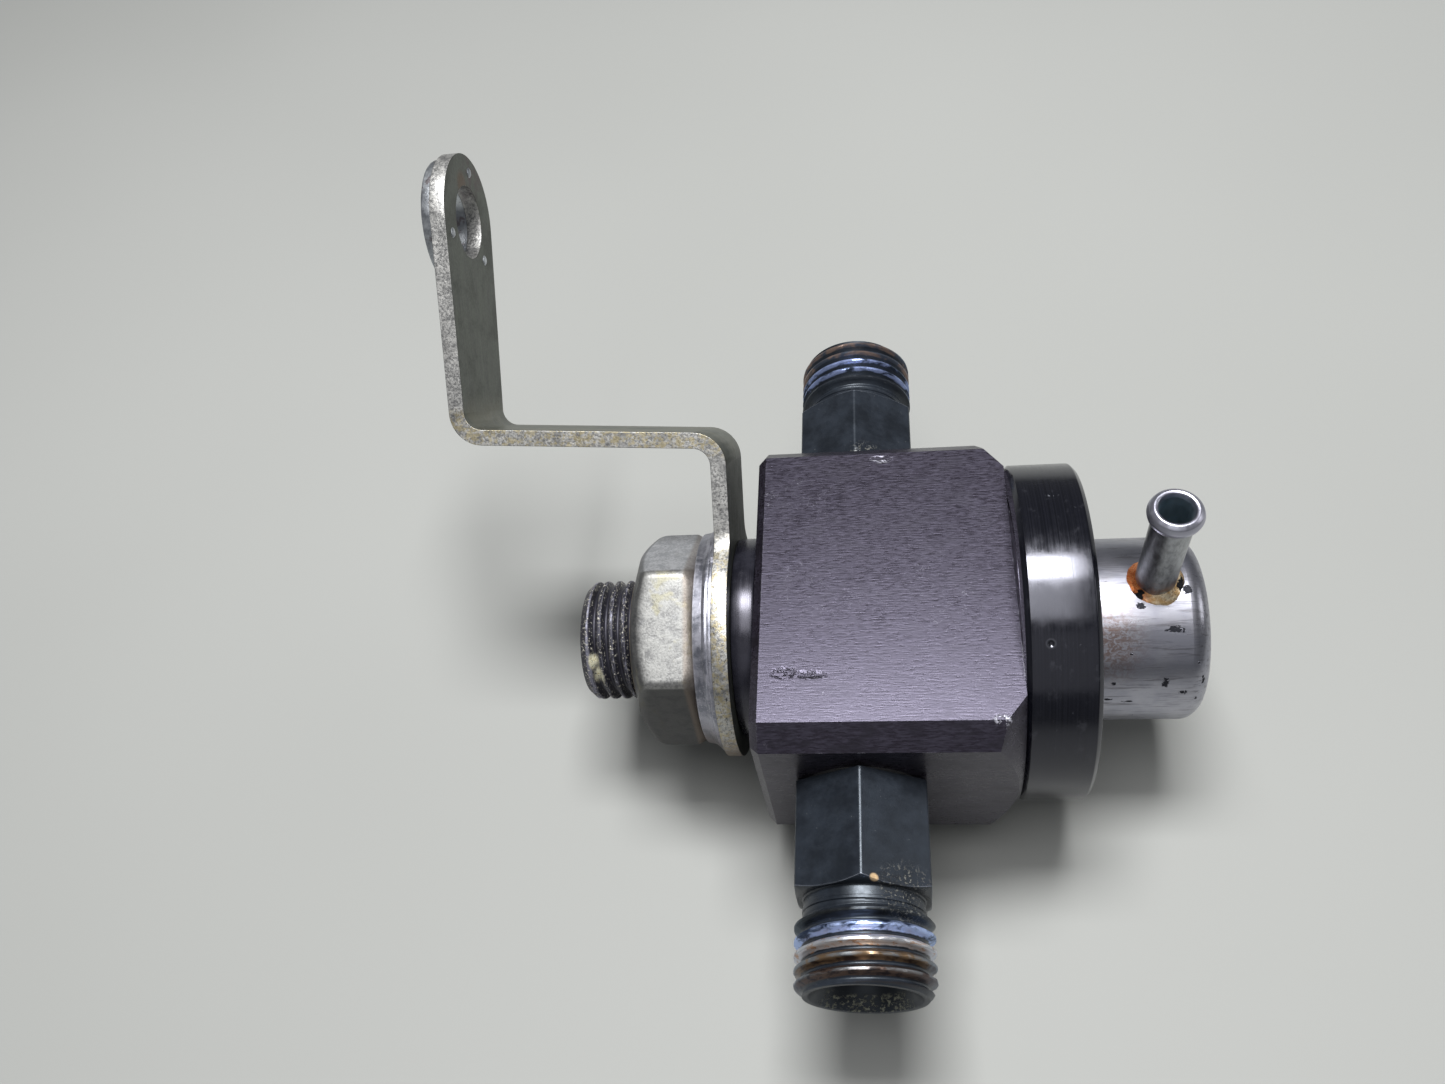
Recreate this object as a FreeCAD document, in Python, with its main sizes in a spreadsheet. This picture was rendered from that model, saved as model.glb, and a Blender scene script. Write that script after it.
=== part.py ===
import FreeCAD, Part
import math
import os
import Sketcher
from FreeCAD import Placement, Rotation, Vector

# Fuel pressure regulator: a block with two side unions, a return stub that
# carries a clamped bracket, and a spring housing held on by a threaded ring.
# Row frame: X along the main axis (return stub at -X, spring housing at +X),
# Y along the port axis, Z up, z = 0 on the flat underside of the block.

os.makedirs("parts", exist_ok=True)
doc = FreeCAD.newDocument("FuelPressureRegulator")

# ------------------------------------------------------------ dimensions
DIMENSIONS = [
    # valve block
    ("axis_height", 12.5), ("block_left", 11.2), ("block_right", 17.0),
    ("block_width", 39.0), ("block_height", 25.0), ("edge_chamfer", 2.4),
    ("face_chamfer", 0.9), ("corner_cone_radius", 19.1), ("corner_cone_depth", 5.0),
    ("boss_neck_radius", 15.3), ("boss_neck_end", 17.9),
    ("boss_radius", 16.0), ("boss_end", 21.4),
    ("chamber_radius", 9.5), ("chamber_floor", 6.0),
    ("chamber_rim_radius", 10.6), ("chamber_rim_start", 18.8),
    ("spigot_bore_radius", 6.4),
    ("port_thread_radius", 6.0), ("port_thread_end", 11.3),
    ("port_passage_radius", 3.4), ("union_bore_radius", 3.6),
    # clamp ring
    ("ring_radius", 19.1), ("ring_start", 17.0), ("ring_end", 24.5),
    ("ring_edge", 0.5), ("ring_thread_clearance", 0.05),
    ("ring_lip_start", 22.7), ("ring_lip_radius", 11.2),
    # spring housing
    ("housing_radius", 10.3), ("housing_wall", 0.8), ("housing_end", 37.3),
    ("housing_corner", 2.2), ("housing_bend", 0.6), ("housing_mouth_round", 1.1),
    ("flange_radius", 15.2), ("flange_start", 21.9),
    # vacuum nipple
    ("nipple_x", 31.75), ("nipple_radius", 2.1), ("nipple_bore_radius", 1.6),
    ("nipple_start", 9.1), ("bead_ring_radius", 1.95), ("bead_section_radius", 0.7),
    ("bead_height", 22.95), ("braze_radius", 3.1), ("braze_top", 11.1),
    # diaphragm and moving stack
    ("diaphragm_thickness", 0.5), ("diaphragm_radius", 15.1),
    ("roll_radius", 8.95), ("roll_section", 1.3),
    ("stack_hole_radius", 1.8), ("back_plate_radius", 6.9),
    ("back_plate_thickness", 0.8), ("cup_radius", 7.4), ("cup_inner_radius", 6.85),
    ("cup_floor", 0.7), ("cup_depth", 4.0),
    ("rivet_head_radius", 2.8), ("rivet_head", 0.8),
    ("holder_radius", 3.4), ("holder_start", 15.5),
    ("ball_radius", 2.5), ("ball_gap", 0.03), ("pocket_clearance", 0.02),
    # valve seat tube
    ("seat_radius", 3.5), ("seat_bore_radius", 1.5), ("seat_end", 15.0),
    ("seat_cone_radius", 2.4), ("seat_press_depth", 9.5),
    # main spring
    ("spring_mean_radius", 5.9), ("spring_wire_radius", 0.7),
    ("spring_turns", 5.0), ("spring_end_gap", 0.02),
    # side unions
    ("thread_radius", 7.145), ("union_hex_flat", 13.8), ("union_hex_start", 19.85),
    ("union_hex_end", 31.6), ("union_neck_radius", 6.25), ("union_neck_end", 33.4),
    ("union_end", 41.1), ("union_end_chamfer", 0.6), ("mouth_radius", 5.9),
    ("mouth_depth", 4.0), ("union_spigot_end", 11.5), ("gasket_radius", 6.8),
    ("gasket_bore_radius", 6.05),
    # return stub
    ("stub_radius", 7.1), ("stub_end", 32.2), ("stub_end_chamfer", 0.8),
    ("collar_radius", 11.7), ("collar_left", 13.85), ("collar_right", 11.22),
    ("stub_bore_radius", 3.0), ("seal_ring_radius", 8.6),
    ("seal_section_radius", 0.45), ("seal_groove_depth", 0.95),
    ("seal_groove_width", 1.3),
    # nut and washers on the stub
    ("nut_flat", 22.2), ("nut_left", 26.0), ("nut_right", 18.02),
    ("nut_cone_radius", 8.0), ("nut_cone_end", 23.2), ("nut_bevel_start", 18.72),
    ("nut_bevel_radius", 12.1), ("nut_bore_radius", 7.16), ("nut_turn", 6.4),
    ("washer_radius", 13.1), ("washer_right", 16.2), ("lock_radius", 13.45),
    ("lock_right", 15.67), ("washer_bore_radius", 7.18),
    # bracket
    ("sheet", 1.8), ("bracket_angle", -48.0), ("bracket_ring_radius", 14.0),
    ("bracket_bore_radius", 7.18), ("bracket_right", 13.87),
    ("strip_half_width", 6.95), ("near_bend_height", 24.8),
    ("far_bend_height", 26.6), ("far_leg_left", 45.5), ("bend_inner", 2.0),
    ("fixing_height", 50.45), ("fixing_end_radius", 7.75),
    ("fixing_hole_radius", 4.15), ("neck_round", 3.0),
    # disc welded behind the fixing hole
    ("disc_radius", 7.2), ("disc", 1.3), ("disc_edge", 0.25),
]

sheet = doc.addObject("Spreadsheet::Sheet", "Dimensions")
for row, (alias, value) in enumerate(DIMENSIONS, start=1):
    sheet.set("A%d" % row, alias)
    sheet.set("B%d" % row, str(value))
    sheet.setAlias("B%d" % row, alias)
doc.recompute()


class Size:
    """A length: its value now, and the expression that keeps it in step with the sheet."""

    def __init__(self, value, text):
        self.value, self.text = float(value), text

    def join(self, other, sign, value, swap=False):
        a, b = (other.text, self.text) if swap else (self.text, other.text)
        return Size(value, "(%s %s %s)" % (a, sign, b))

    def __add__(self, other):
        other = size(other)
        return self.join(other, "+", self.value + other.value)

    def __sub__(self, other):
        other = size(other)
        return self.join(other, "-", self.value - other.value)

    def __rsub__(self, other):
        other = size(other)
        return self.join(other, "-", other.value - self.value, swap=True)

    def __mul__(self, other):
        other = size(other)
        return self.join(other, "*", self.value * other.value)

    def __truediv__(self, other):
        other = size(other)
        return self.join(other, "/", self.value / other.value)

    def __neg__(self):
        return Size(-self.value, "(-1 * %s)" % self.text)

    __radd__ = __add__
    __rmul__ = __mul__


def size(item):
    return item if isinstance(item, Size) else Size(item, repr(float(item)))


class Dimensions:
    """d.block_width is the Size of that cell."""

    def __getattr__(self, alias):
        return Size(dict(DIMENSIONS)[alias], "Dimensions." + alias)


d = Dimensions()
ROOT3 = math.sqrt(3.0)
ALONG_X = Rotation(Vector(0, 1, 0), 90)      # turns local Z onto +X
UP = Rotation(Vector(0, 1, 0), -90)          # turns local X onto +Z


# ------------------------------------------------------------ helpers
def bind(obj, path, item):
    item = size(item)
    obj.setExpression(path, item.text)


def place(obj, x=0.0, y=0.0, z=0.0, rotation=Rotation()):
    """Set a placement whose base follows the sheet."""
    x, y, z = size(x), size(y), size(z)
    obj.Placement = Placement(Vector(x.value, y.value, z.value), rotation)
    for axis, item in (("x", x), ("y", y), ("z", z)):
        bind(obj, "Placement.Base." + axis, item)


def origin_item(body, role):
    return next(o for o in body.Origin.OriginFeatures if o.Role == role)


def outline(sketch, points):
    """A closed outline of straight lines; every corner is dimensioned from the origin."""
    points = [(size(u), size(v)) for u, v in points]
    count = len(points)
    corners = [Vector(u.value, v.value, 0) for u, v in points]
    for i in range(count):
        sketch.addGeometry(Part.LineSegment(corners[i], corners[(i + 1) % count]), False)
    for i in range(count):
        sketch.addConstraint(Sketcher.Constraint("Coincident", i, 2, (i + 1) % count, 1))
    for i, (u, v) in enumerate(points):
        for kind, item in (("DistanceX", u), ("DistanceY", v)):
            index = sketch.addConstraint(Sketcher.Constraint(kind, -1, 1, i, 1, item.value))
            if "Dimensions" in item.text:
                bind(sketch, "Constraints[%d]" % index, item)


def new_body(label):
    body = doc.addObject("PartDesign::Body", label)
    body.Label = label
    doc.recompute()
    return body


def new_sketch(body, name, role, points):
    sketch = body.newObject("Sketcher::SketchObject", name)
    sketch.AttachmentSupport = [(origin_item(body, role), "")]
    sketch.MapMode = "FlatFace"
    outline(sketch, points)
    doc.recompute()
    return sketch


def revolve(body, name, points, cut=False, role="XY_Plane", axis="H_Axis"):
    """Turn an outline of (x, radius) corners about the body's own X axis."""
    sketch = new_sketch(body, name + "_profile", role, points)
    before = body.Shape.Volume if cut else 0.0
    kind = "PartDesign::Groove" if cut else "PartDesign::Revolution"
    feature = body.newObject(kind, name)
    feature.Profile = sketch
    feature.ReferenceAxis = (sketch, [axis])
    feature.Angle = 360.0
    body.Tip = feature
    doc.recompute()
    if cut and not body.Shape.Volume < before - 1e-3:
        raise ValueError(name + " cut nothing")
    return feature


def turned(label, points, **where):
    body = new_body(label)
    revolve(body, label + "_turning", points)
    place(body, **where)
    doc.recompute()
    return body


def edges_where(shape, test):
    return ["Edge%d" % i for i, edge in enumerate(shape.Edges, start=1) if test(edge)]


def chamfer(body, name, edges, width):
    base = body.Tip
    feature = body.newObject("PartDesign::Chamfer", name)
    feature.Base = (base, edges)
    feature.Size = size(width).value
    bind(feature, "Size", width)
    body.Tip = feature
    doc.recompute()
    return feature


def fillet(body, name, edges, radius):
    base = body.Tip
    feature = body.newObject("PartDesign::Fillet", name)
    feature.Base = (base, edges)
    feature.Radius = size(radius).value
    bind(feature, "Radius", radius)
    body.Tip = feature
    doc.recompute()
    return feature


def circle_edge(x, radius, tol=0.02):
    """Test for a full round edge about the local X axis."""
    def test(edge):
        box = edge.BoundBox
        return (box.XLength < tol and abs(box.XMin - x) < tol
                and abs(box.YLength / 2 - radius) < tol and abs(box.Center.y) < tol)
    return test


def primitive(kind, name, sizes, **where):
    obj = doc.addObject("Part::" + kind, name)
    for path, item in sizes.items():
        bind(obj, path, item)
    if where:
        place(obj, **where)
    return obj


def cylinder_x(name, radius, start, end, height=None):
    """A cylinder along X from start to end, about the main axis."""
    height = d.axis_height if height is None else height
    return primitive("Cylinder", name, {"Radius": radius, "Height": size(end) - start},
                     x=start, z=height, rotation=ALONG_X)


def boolean(kind, name, base, tool):
    obj = doc.addObject("Part::" + kind, name)
    obj.Base, obj.Tool = base, tool
    return obj


# ------------------------------------------------------------ valve block
def make_block():
    body = new_body("valve_block")
    half_y, half_z = d.block_width / 2, d.block_height / 2
    section = new_sketch(body, "block_section", "YZ_Plane",
                         [(-half_y, -half_z), (half_y, -half_z), (half_y, half_z), (-half_y, half_z)])
    pad = body.newObject("PartDesign::Pad", "block_bar")
    pad.Profile = section
    pad.Length = (d.block_left + d.block_right).value
    bind(pad, "Length", d.block_left + d.block_right)
    body.Tip = pad
    place(body, x=-d.block_left, z=d.axis_height)
    doc.recompute()

    length = (d.block_left + d.block_right).value

    def along(edge):
        return edge.BoundBox.XLength > length - 0.1

    chamfer(body, "long_edges", edges_where(pad.Shape, along), d.edge_chamfer)

    # the corners next to the ring are turned to a 45 degree cone
    right_end = d.block_left + d.block_right
    cone_radius, cone_depth = d.corner_cone_radius, d.corner_cone_depth
    revolve(body, "corner_cone", [
        (right_end, cone_radius), (right_end - cone_depth, cone_radius + cone_depth),
        (right_end + 1.0, cone_radius + cone_depth), (right_end + 1.0, cone_radius)], cut=True)

    def left_face(edge):
        return edge.BoundBox.XMax < 0.01

    chamfer(body, "left_edges", edges_where(body.Tip.Shape, left_face), d.face_chamfer)

    shift = d.block_left
    start = d.block_left + d.block_right
    revolve(body, "boss", [
        (start - 2.0, 0), (start - 2.0, d.chamber_rim_radius + 0.4),
        (start, d.chamber_rim_radius + 0.4), (start, d.boss_neck_radius),
        (shift + d.boss_neck_end, d.boss_neck_radius), (shift + d.boss_neck_end + 0.5, d.boss_radius),
        (shift + d.boss_end - 0.5, d.boss_radius), (shift + d.boss_end, d.boss_radius - 0.5),
        (shift + d.boss_end, 0)])
    revolve(body, "chamber", [
        (-1.0, 0), (-1.0, d.spigot_bore_radius), (shift - d.chamber_floor, d.spigot_bore_radius),
        (shift - d.chamber_floor, d.chamber_radius),
        (shift + d.chamber_rim_start, d.chamber_radius),
        (shift + d.chamber_rim_start, d.chamber_rim_radius),
        (shift + d.boss_end + 1.0, d.chamber_rim_radius), (shift + d.boss_end + 1.0, 0)], cut=True)
    # both ports in one turning about the Y axis through the crossing point
    sketch_points = [
        (shift, -half_y - 1.0), (shift + d.port_thread_radius + 0.4, -half_y - 1.0),
        (shift + d.port_thread_radius + 0.4, -half_y), (shift + d.port_thread_radius, -half_y + 0.4),
        (shift + d.port_thread_radius, -d.port_thread_end),
        (shift + d.port_passage_radius, -d.port_thread_end),
        (shift + d.port_passage_radius, d.port_thread_end),
        (shift + d.port_thread_radius, d.port_thread_end),
        (shift + d.port_thread_radius, half_y - 0.4), (shift + d.port_thread_radius + 0.4, half_y),
        (shift + d.port_thread_radius + 0.4, half_y + 1.0), (shift, half_y + 1.0)]
    sketch = new_sketch(body, "ports_profile", "XY_Plane", sketch_points)
    before = body.Shape.Volume
    groove = body.newObject("PartDesign::Groove", "ports")
    groove.Profile = sketch
    groove.ReferenceAxis = (sketch, ["Edge12"])
    groove.Angle = 360.0
    body.Tip = groove
    doc.recompute()
    if not body.Shape.Volume < before - 1e-3:
        raise ValueError("ports cut nothing")
    return body


# ------------------------------------------------------------ clamp ring and housing
def make_ring():
    return turned("clamp_ring", [
        (d.ring_start, d.boss_radius + d.ring_thread_clearance),
        (d.ring_start, d.ring_radius - d.ring_edge),
        (d.ring_start + d.ring_edge, d.ring_radius),
        (d.ring_end - d.ring_edge, d.ring_radius),
        (d.ring_end, d.ring_radius - d.ring_edge),
        (d.ring_end, d.ring_lip_radius + 0.4), (d.ring_end - 0.4, d.ring_lip_radius),
        (d.ring_lip_start, d.ring_lip_radius),
        (d.ring_lip_start, d.boss_radius + d.ring_thread_clearance)], z=d.axis_height)


def make_housing():
    body = new_body("spring_housing")
    inner = d.housing_radius - d.housing_wall
    revolve(body, "drawn_cup", [
        (d.flange_start, inner), (d.flange_start, d.flange_radius),
        (d.flange_start + d.housing_wall, d.flange_radius),
        (d.flange_start + d.housing_wall, d.housing_radius),
        (d.housing_end, d.housing_radius), (d.housing_end, 0),
        (d.housing_end - d.housing_wall, 0), (d.housing_end - d.housing_wall, inner)])
    end, wall = d.housing_end.value, d.housing_wall.value
    rounds = [
        ("outer_corner", end, d.housing_radius.value, d.housing_corner),
        ("inner_corner", end - wall, inner.value, d.housing_corner - d.housing_wall),
        ("flange_bend", d.flange_start.value + wall, d.housing_radius.value, d.housing_bend),
        ("mouth_bend", d.flange_start.value, inner.value, d.housing_mouth_round)]
    for name, x, radius, amount in rounds:
        fillet(body, name, edges_where(body.Tip.Shape, circle_edge(x, radius)), amount)
    # hole for the vacuum nipple, through the upper wall only
    hole = body.newObject("Sketcher::SketchObject", "nipple_hole_profile")
    hole.AttachmentSupport = [(origin_item(body, "XY_Plane"), "")]
    hole.MapMode = "FlatFace"
    hole.addGeometry(Part.Circle(Vector(d.nipple_x.value, 0, 0), Vector(0, 0, 1),
                                 d.nipple_radius.value), False)
    for kind, item, args in (("DistanceX", d.nipple_x, (-1, 1, 0, 3)),
                             ("Radius", d.nipple_radius, (0,))):
        index = hole.addConstraint(Sketcher.Constraint(kind, *args, item.value))
        bind(hole, "Constraints[%d]" % index, item)
    hole.addConstraint(Sketcher.Constraint("PointOnObject", 0, 3, -1))
    before = body.Shape.Volume
    cut = body.newObject("PartDesign::Pocket", "nipple_hole")
    cut.Profile = hole
    cut.Reversed = True
    cut.Length = (d.housing_radius + 1.0).value
    bind(cut, "Length", d.housing_radius + 1.0)
    body.Tip = cut
    place(body, z=d.axis_height)
    doc.recompute()
    if not body.Shape.Volume < before - 1e-3:
        raise ValueError("nipple hole cut nothing")
    return body


def make_nipple():
    """Beaded tube standing up from the housing, and the braze around its foot."""
    length = d.bead_height - d.nipple_start
    tube = primitive("Cylinder", "nipple_tube", {"Radius": d.nipple_radius, "Height": length},
                     x=d.nipple_x, z=d.axis_height + d.nipple_start)
    bead = primitive("Torus", "nipple_bead",
                     {"Radius1": d.bead_ring_radius, "Radius2": d.bead_section_radius},
                     x=d.nipple_x, z=d.axis_height + d.bead_height)
    whole = boolean("Fuse", "nipple_outside", tube, bead)
    bore = primitive("Cylinder", "nipple_bore",
                     {"Radius": d.nipple_bore_radius, "Height": length + 4.0},
                     x=d.nipple_x, z=d.axis_height + d.nipple_start - 1.0)
    nipple = boolean("Cut", "vacuum_nipple", whole, bore)

    low = d.housing_radius - 0.8
    shoulder = d.housing_radius + 0.2
    foot = primitive("Cylinder", "braze_foot", {"Radius": d.braze_radius, "Height": shoulder - low},
                     x=d.nipple_x, z=d.axis_height + low)
    slope = primitive("Cone", "braze_slope", {
        "Radius1": d.braze_radius, "Radius2": d.nipple_radius + 0.1,
        "Height": d.braze_top - shoulder}, x=d.nipple_x, z=d.axis_height + shoulder)
    mound = boolean("Fuse", "braze_mound", foot, slope)
    shell = cylinder_x("braze_cut_housing", d.housing_radius, d.nipple_x - 6.0, d.nipple_x + 5.0)
    resting = boolean("Cut", "braze_on_housing", mound, shell)
    core = primitive("Cylinder", "braze_cut_tube", {"Radius": d.nipple_radius, "Height": 6.0},
                     x=d.nipple_x, z=d.axis_height + low - 1.0)
    braze = boolean("Cut", "nipple_braze", resting, core)
    return nipple, braze


# ------------------------------------------------------------ diaphragm and moving stack
def make_diaphragm():
    disc = cylinder_x("diaphragm_sheet", d.diaphragm_radius, d.boss_end, d.flange_start)
    window = cylinder_x("diaphragm_window", d.roll_radius + d.roll_section - 0.05,
                        d.boss_end - 1.0, d.flange_start + 1.0)
    rim = boolean("Cut", "diaphragm_rim", disc, window)
    middle = cylinder_x("diaphragm_middle", d.roll_radius - d.roll_section + 0.05,
                        d.boss_end, d.flange_start)
    hole = cylinder_x("diaphragm_hole", d.stack_hole_radius, d.boss_end - 1.0, d.flange_start + 1.0)
    centre = boolean("Cut", "diaphragm_centre", middle, hole)
    outside = primitive("Torus", "roll_outside",
                        {"Radius1": d.roll_radius, "Radius2": d.roll_section},
                        x=d.flange_start, z=d.axis_height, rotation=ALONG_X)
    inside = primitive("Torus", "roll_inside",
                       {"Radius1": d.roll_radius, "Radius2": d.roll_section - d.diaphragm_thickness},
                       x=d.flange_start, z=d.axis_height, rotation=ALONG_X)
    skin = boolean("Cut", "roll_skin", outside, inside)
    keep = cylinder_x("roll_keep", d.roll_radius + 3.0, d.boss_end - 3.0, d.flange_start)
    roll = boolean("Common", "roll", skin, keep)
    whole = doc.addObject("Part::MultiFuse", "diaphragm")
    whole.Shapes = [rim, centre, roll]
    whole.Refine = True
    return whole


def make_stack():
    """Back plate, spring cup, valve holder with its riveted stem, and the ball."""
    sheet_left, sheet_right = d.boss_end, d.flange_start
    plate_left = sheet_left - d.back_plate_thickness
    turned("back_plate", [
        (plate_left, d.stack_hole_radius), (plate_left, d.back_plate_radius - 0.3),
        (plate_left + 0.3, d.back_plate_radius), (sheet_left, d.back_plate_radius),
        (sheet_left, d.stack_hole_radius)], z=d.axis_height)
    floor = sheet_right + d.cup_floor
    turned("spring_cup", [
        (sheet_right, d.stack_hole_radius), (sheet_right, d.cup_radius - 0.5),
        (sheet_right + 0.5, d.cup_radius), (sheet_right + d.cup_depth, d.cup_radius),
        (sheet_right + d.cup_depth, d.cup_inner_radius), (floor, d.cup_inner_radius),
        (floor, d.stack_hole_radius)], z=d.axis_height)

    ball_x = d.seat_end - d.seat_cone_radius + math.sqrt(2.0) * (d.ball_radius + d.ball_gap)
    holder = new_body("ball_holder")
    revolve(holder, "holder_turning", [
        (d.holder_start, 0), (d.holder_start, d.holder_radius - 0.5),
        (d.holder_start + 0.5, d.holder_radius), (plate_left, d.holder_radius),
        (plate_left, d.stack_hole_radius), (floor, d.stack_hole_radius),
        (floor, d.rivet_head_radius), (floor + d.rivet_head * 0.5, d.rivet_head_radius),
        (floor + d.rivet_head, d.rivet_head_radius * 0.6), (floor + d.rivet_head, 0)])
    place(holder, z=d.axis_height)
    pocket = primitive("Sphere", "ball_pocket", {"Radius": d.ball_radius + d.pocket_clearance},
                       x=ball_x, z=d.axis_height)
    doc.recompute()
    cut = boolean("Cut", "valve_holder", holder, pocket)
    primitive("Sphere", "valve_ball", {"Radius": d.ball_radius}, x=ball_x, z=d.axis_height)
    return cut


def make_seat():
    cone_start = d.seat_end - (d.seat_cone_radius - d.seat_bore_radius)
    return turned("valve_seat", [
        (-d.seat_press_depth, d.seat_bore_radius), (-d.seat_press_depth, d.seat_radius - 0.3),
        (0.3 - d.seat_press_depth, d.seat_radius), (d.seat_end - 0.6, d.seat_radius),
        (d.seat_end, d.seat_radius - 0.6), (d.seat_end, d.seat_cone_radius),
        (cone_start, d.seat_bore_radius)], z=d.axis_height)


def make_spring():
    """Compression spring with ends ground flat against cup and housing."""
    start = d.flange_start + d.cup_floor + d.spring_end_gap
    end = d.housing_end - d.housing_wall - d.spring_end_gap
    length = (end - start).value
    helix = primitive("Helix", "spring_path", {
        "Radius": d.spring_mean_radius, "Height": end - start,
        "Pitch": (end - start) / d.spring_turns}, x=start, z=d.axis_height, rotation=ALONG_X)
    doc.recompute()
    path = Part.Wire(helix.Shape.Edges)
    first = path.Edges[0]
    point = first.valueAt(first.FirstParameter)
    tangent = first.tangentAt(first.FirstParameter)
    wire = Part.Wire([Part.makeCircle(d.spring_wire_radius.value, point, tangent)])
    coil = path.makePipeShell([wire], True, True)
    reach = d.spring_mean_radius.value + 3.0
    keep = Part.makeCylinder(reach, length, Vector(start.value, 0, d.axis_height.value),
                             Vector(1, 0, 0))
    spring = doc.addObject("Part::Feature", "main_spring")
    spring.Shape = coil.common(keep)
    return spring


# ------------------------------------------------------------ side unions
def make_union(label, side):
    """Hex union on the port axis; side is +1 or -1 along Y."""
    body = new_body(label)
    revolve(body, label + "_blank", [
        (d.union_spigot_end, d.union_bore_radius),
        (d.union_spigot_end, d.port_thread_radius - 0.6),
        (d.union_spigot_end + 0.6, d.port_thread_radius - 0.02),
        (d.union_hex_start, d.port_thread_radius - 0.02),
        (d.union_hex_start, d.union_neck_radius), (d.union_neck_end, d.union_neck_radius),
        (d.union_neck_end + 0.6, d.thread_radius), (d.union_end - d.union_end_chamfer, d.thread_radius),
        (d.union_end, d.thread_radius - d.union_end_chamfer), (d.union_end, d.mouth_radius),
        (d.union_end - d.mouth_depth, d.union_bore_radius)])
    half = d.union_hex_flat / 2
    corner, side_half = half * (2 / ROOT3), half / ROOT3
    # the hexagon lies in the local YZ plane with a corner up and down
    points = [(0, corner), (-half, side_half), (-half, -side_half),
              (0, -corner), (half, -side_half), (half, side_half)]
    sketch = new_sketch(body, label + "_hexagon", "YZ_Plane", points)
    sketch.AttachmentOffset = Placement(Vector(0, 0, d.union_hex_start.value), Rotation())
    bind(sketch, "AttachmentOffset.Base.z", d.union_hex_start)
    hexagon = body.newObject("PartDesign::Pad", label + "_hex")
    hexagon.Profile = sketch
    hexagon.Length = (d.union_hex_end - d.union_hex_start).value
    bind(hexagon, "Length", d.union_hex_end - d.union_hex_start)
    body.Tip = hexagon
    doc.recompute()
    revolve(body, label + "_bore", [
        (d.union_hex_start - 1.0, 0), (d.union_hex_start - 1.0, d.union_bore_radius),
        (d.union_hex_end + 1.0, d.union_bore_radius), (d.union_hex_end + 1.0, 0)], cut=True)
    place(body, z=d.axis_height, rotation=Rotation(Vector(0, 0, 1), 90 * side))
    doc.recompute()
    return body


def make_gasket(label, side):
    return turned(label, [
        (d.block_width / 2 + 0.01, d.gasket_bore_radius), (d.block_width / 2 + 0.01, d.gasket_radius),
        (d.union_hex_start - 0.01, d.gasket_radius), (d.union_hex_start - 0.01, d.gasket_bore_radius)],
        z=d.axis_height, rotation=Rotation(Vector(0, 0, 1), 90 * side))


# ------------------------------------------------------------ return stub
def make_stub():
    groove = d.collar_right + d.seal_groove_depth
    inner = d.seal_ring_radius - d.seal_groove_width / 2
    outer = d.seal_ring_radius + d.seal_groove_width / 2
    turned("return_stub", [
        (-d.stub_end, d.mouth_radius), (-d.stub_end, d.stub_radius - d.stub_end_chamfer),
        (d.stub_end_chamfer - d.stub_end, d.stub_radius), (-d.collar_left, d.stub_radius),
        (-d.collar_left, d.collar_radius - 0.3), (0.3 - d.collar_left, d.collar_radius),
        (-0.3 - d.collar_right, d.collar_radius), (-d.collar_right, d.collar_radius - 0.3),
        (-d.collar_right, outer), (-groove, outer), (-groove, inner), (-d.collar_right, inner),
        (-d.collar_right, d.spigot_bore_radius - 0.02),
        (-d.chamber_floor - 0.4, d.spigot_bore_radius - 0.02),
        (-d.chamber_floor, d.spigot_bore_radius - 0.4), (-d.chamber_floor, d.seat_radius),
        (-d.seat_press_depth, d.seat_radius), (-d.seat_press_depth, d.stub_bore_radius),
        (d.mouth_depth - d.stub_end, d.stub_bore_radius)], z=d.axis_height)
    primitive("Torus", "stub_seal", {"Radius1": d.seal_ring_radius, "Radius2": d.seal_section_radius},
              x=-d.collar_right - d.seal_groove_depth / 2, z=d.axis_height, rotation=ALONG_X)


def make_nut():
    flats = primitive("Prism", "nut_flats", {
        "Circumradius": d.nut_flat / ROOT3, "Height": d.nut_left - d.nut_right})
    flats.Polygon = 6
    turn = Rotation(Vector(1, 0, 0), -d.nut_turn.value)
    # a corner of the prism lies on its local X, which ALONG_X carries to -Z
    place(flats, x=-d.nut_left, z=d.axis_height, rotation=turn.multiply(ALONG_X))
    corner = d.nut_flat / ROOT3
    envelope = turned("nut_envelope", [
        (-d.nut_left, 0), (-d.nut_left, d.nut_cone_radius), (-d.nut_cone_end, corner),
        (-d.nut_bevel_start, corner), (-d.nut_right, d.nut_bevel_radius), (-d.nut_right, 0)],
        z=d.axis_height)
    solid = boolean("Common", "nut_solid", flats, envelope)
    bore = cylinder_x("nut_bore", d.nut_bore_radius, -d.nut_left - 1.0, 1.0 - d.nut_right)
    return boolean("Cut", "stub_nut", solid, bore)


def make_washers():
    turned("flange_washer", [
        (-d.nut_right, d.washer_bore_radius), (-d.nut_right, d.washer_radius - 0.35),
        (0.35 - d.nut_right, d.washer_radius), (-0.35 - d.washer_right, d.washer_radius),
        (-d.washer_right, d.washer_radius - 0.35), (-d.washer_right, d.washer_bore_radius)],
        z=d.axis_height)
    turned("lock_washer", [
        (-d.washer_right, d.washer_bore_radius), (-d.washer_right, d.lock_radius),
        (-d.lock_right, d.lock_radius), (-d.lock_right, d.washer_bore_radius)], z=d.axis_height)


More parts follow.
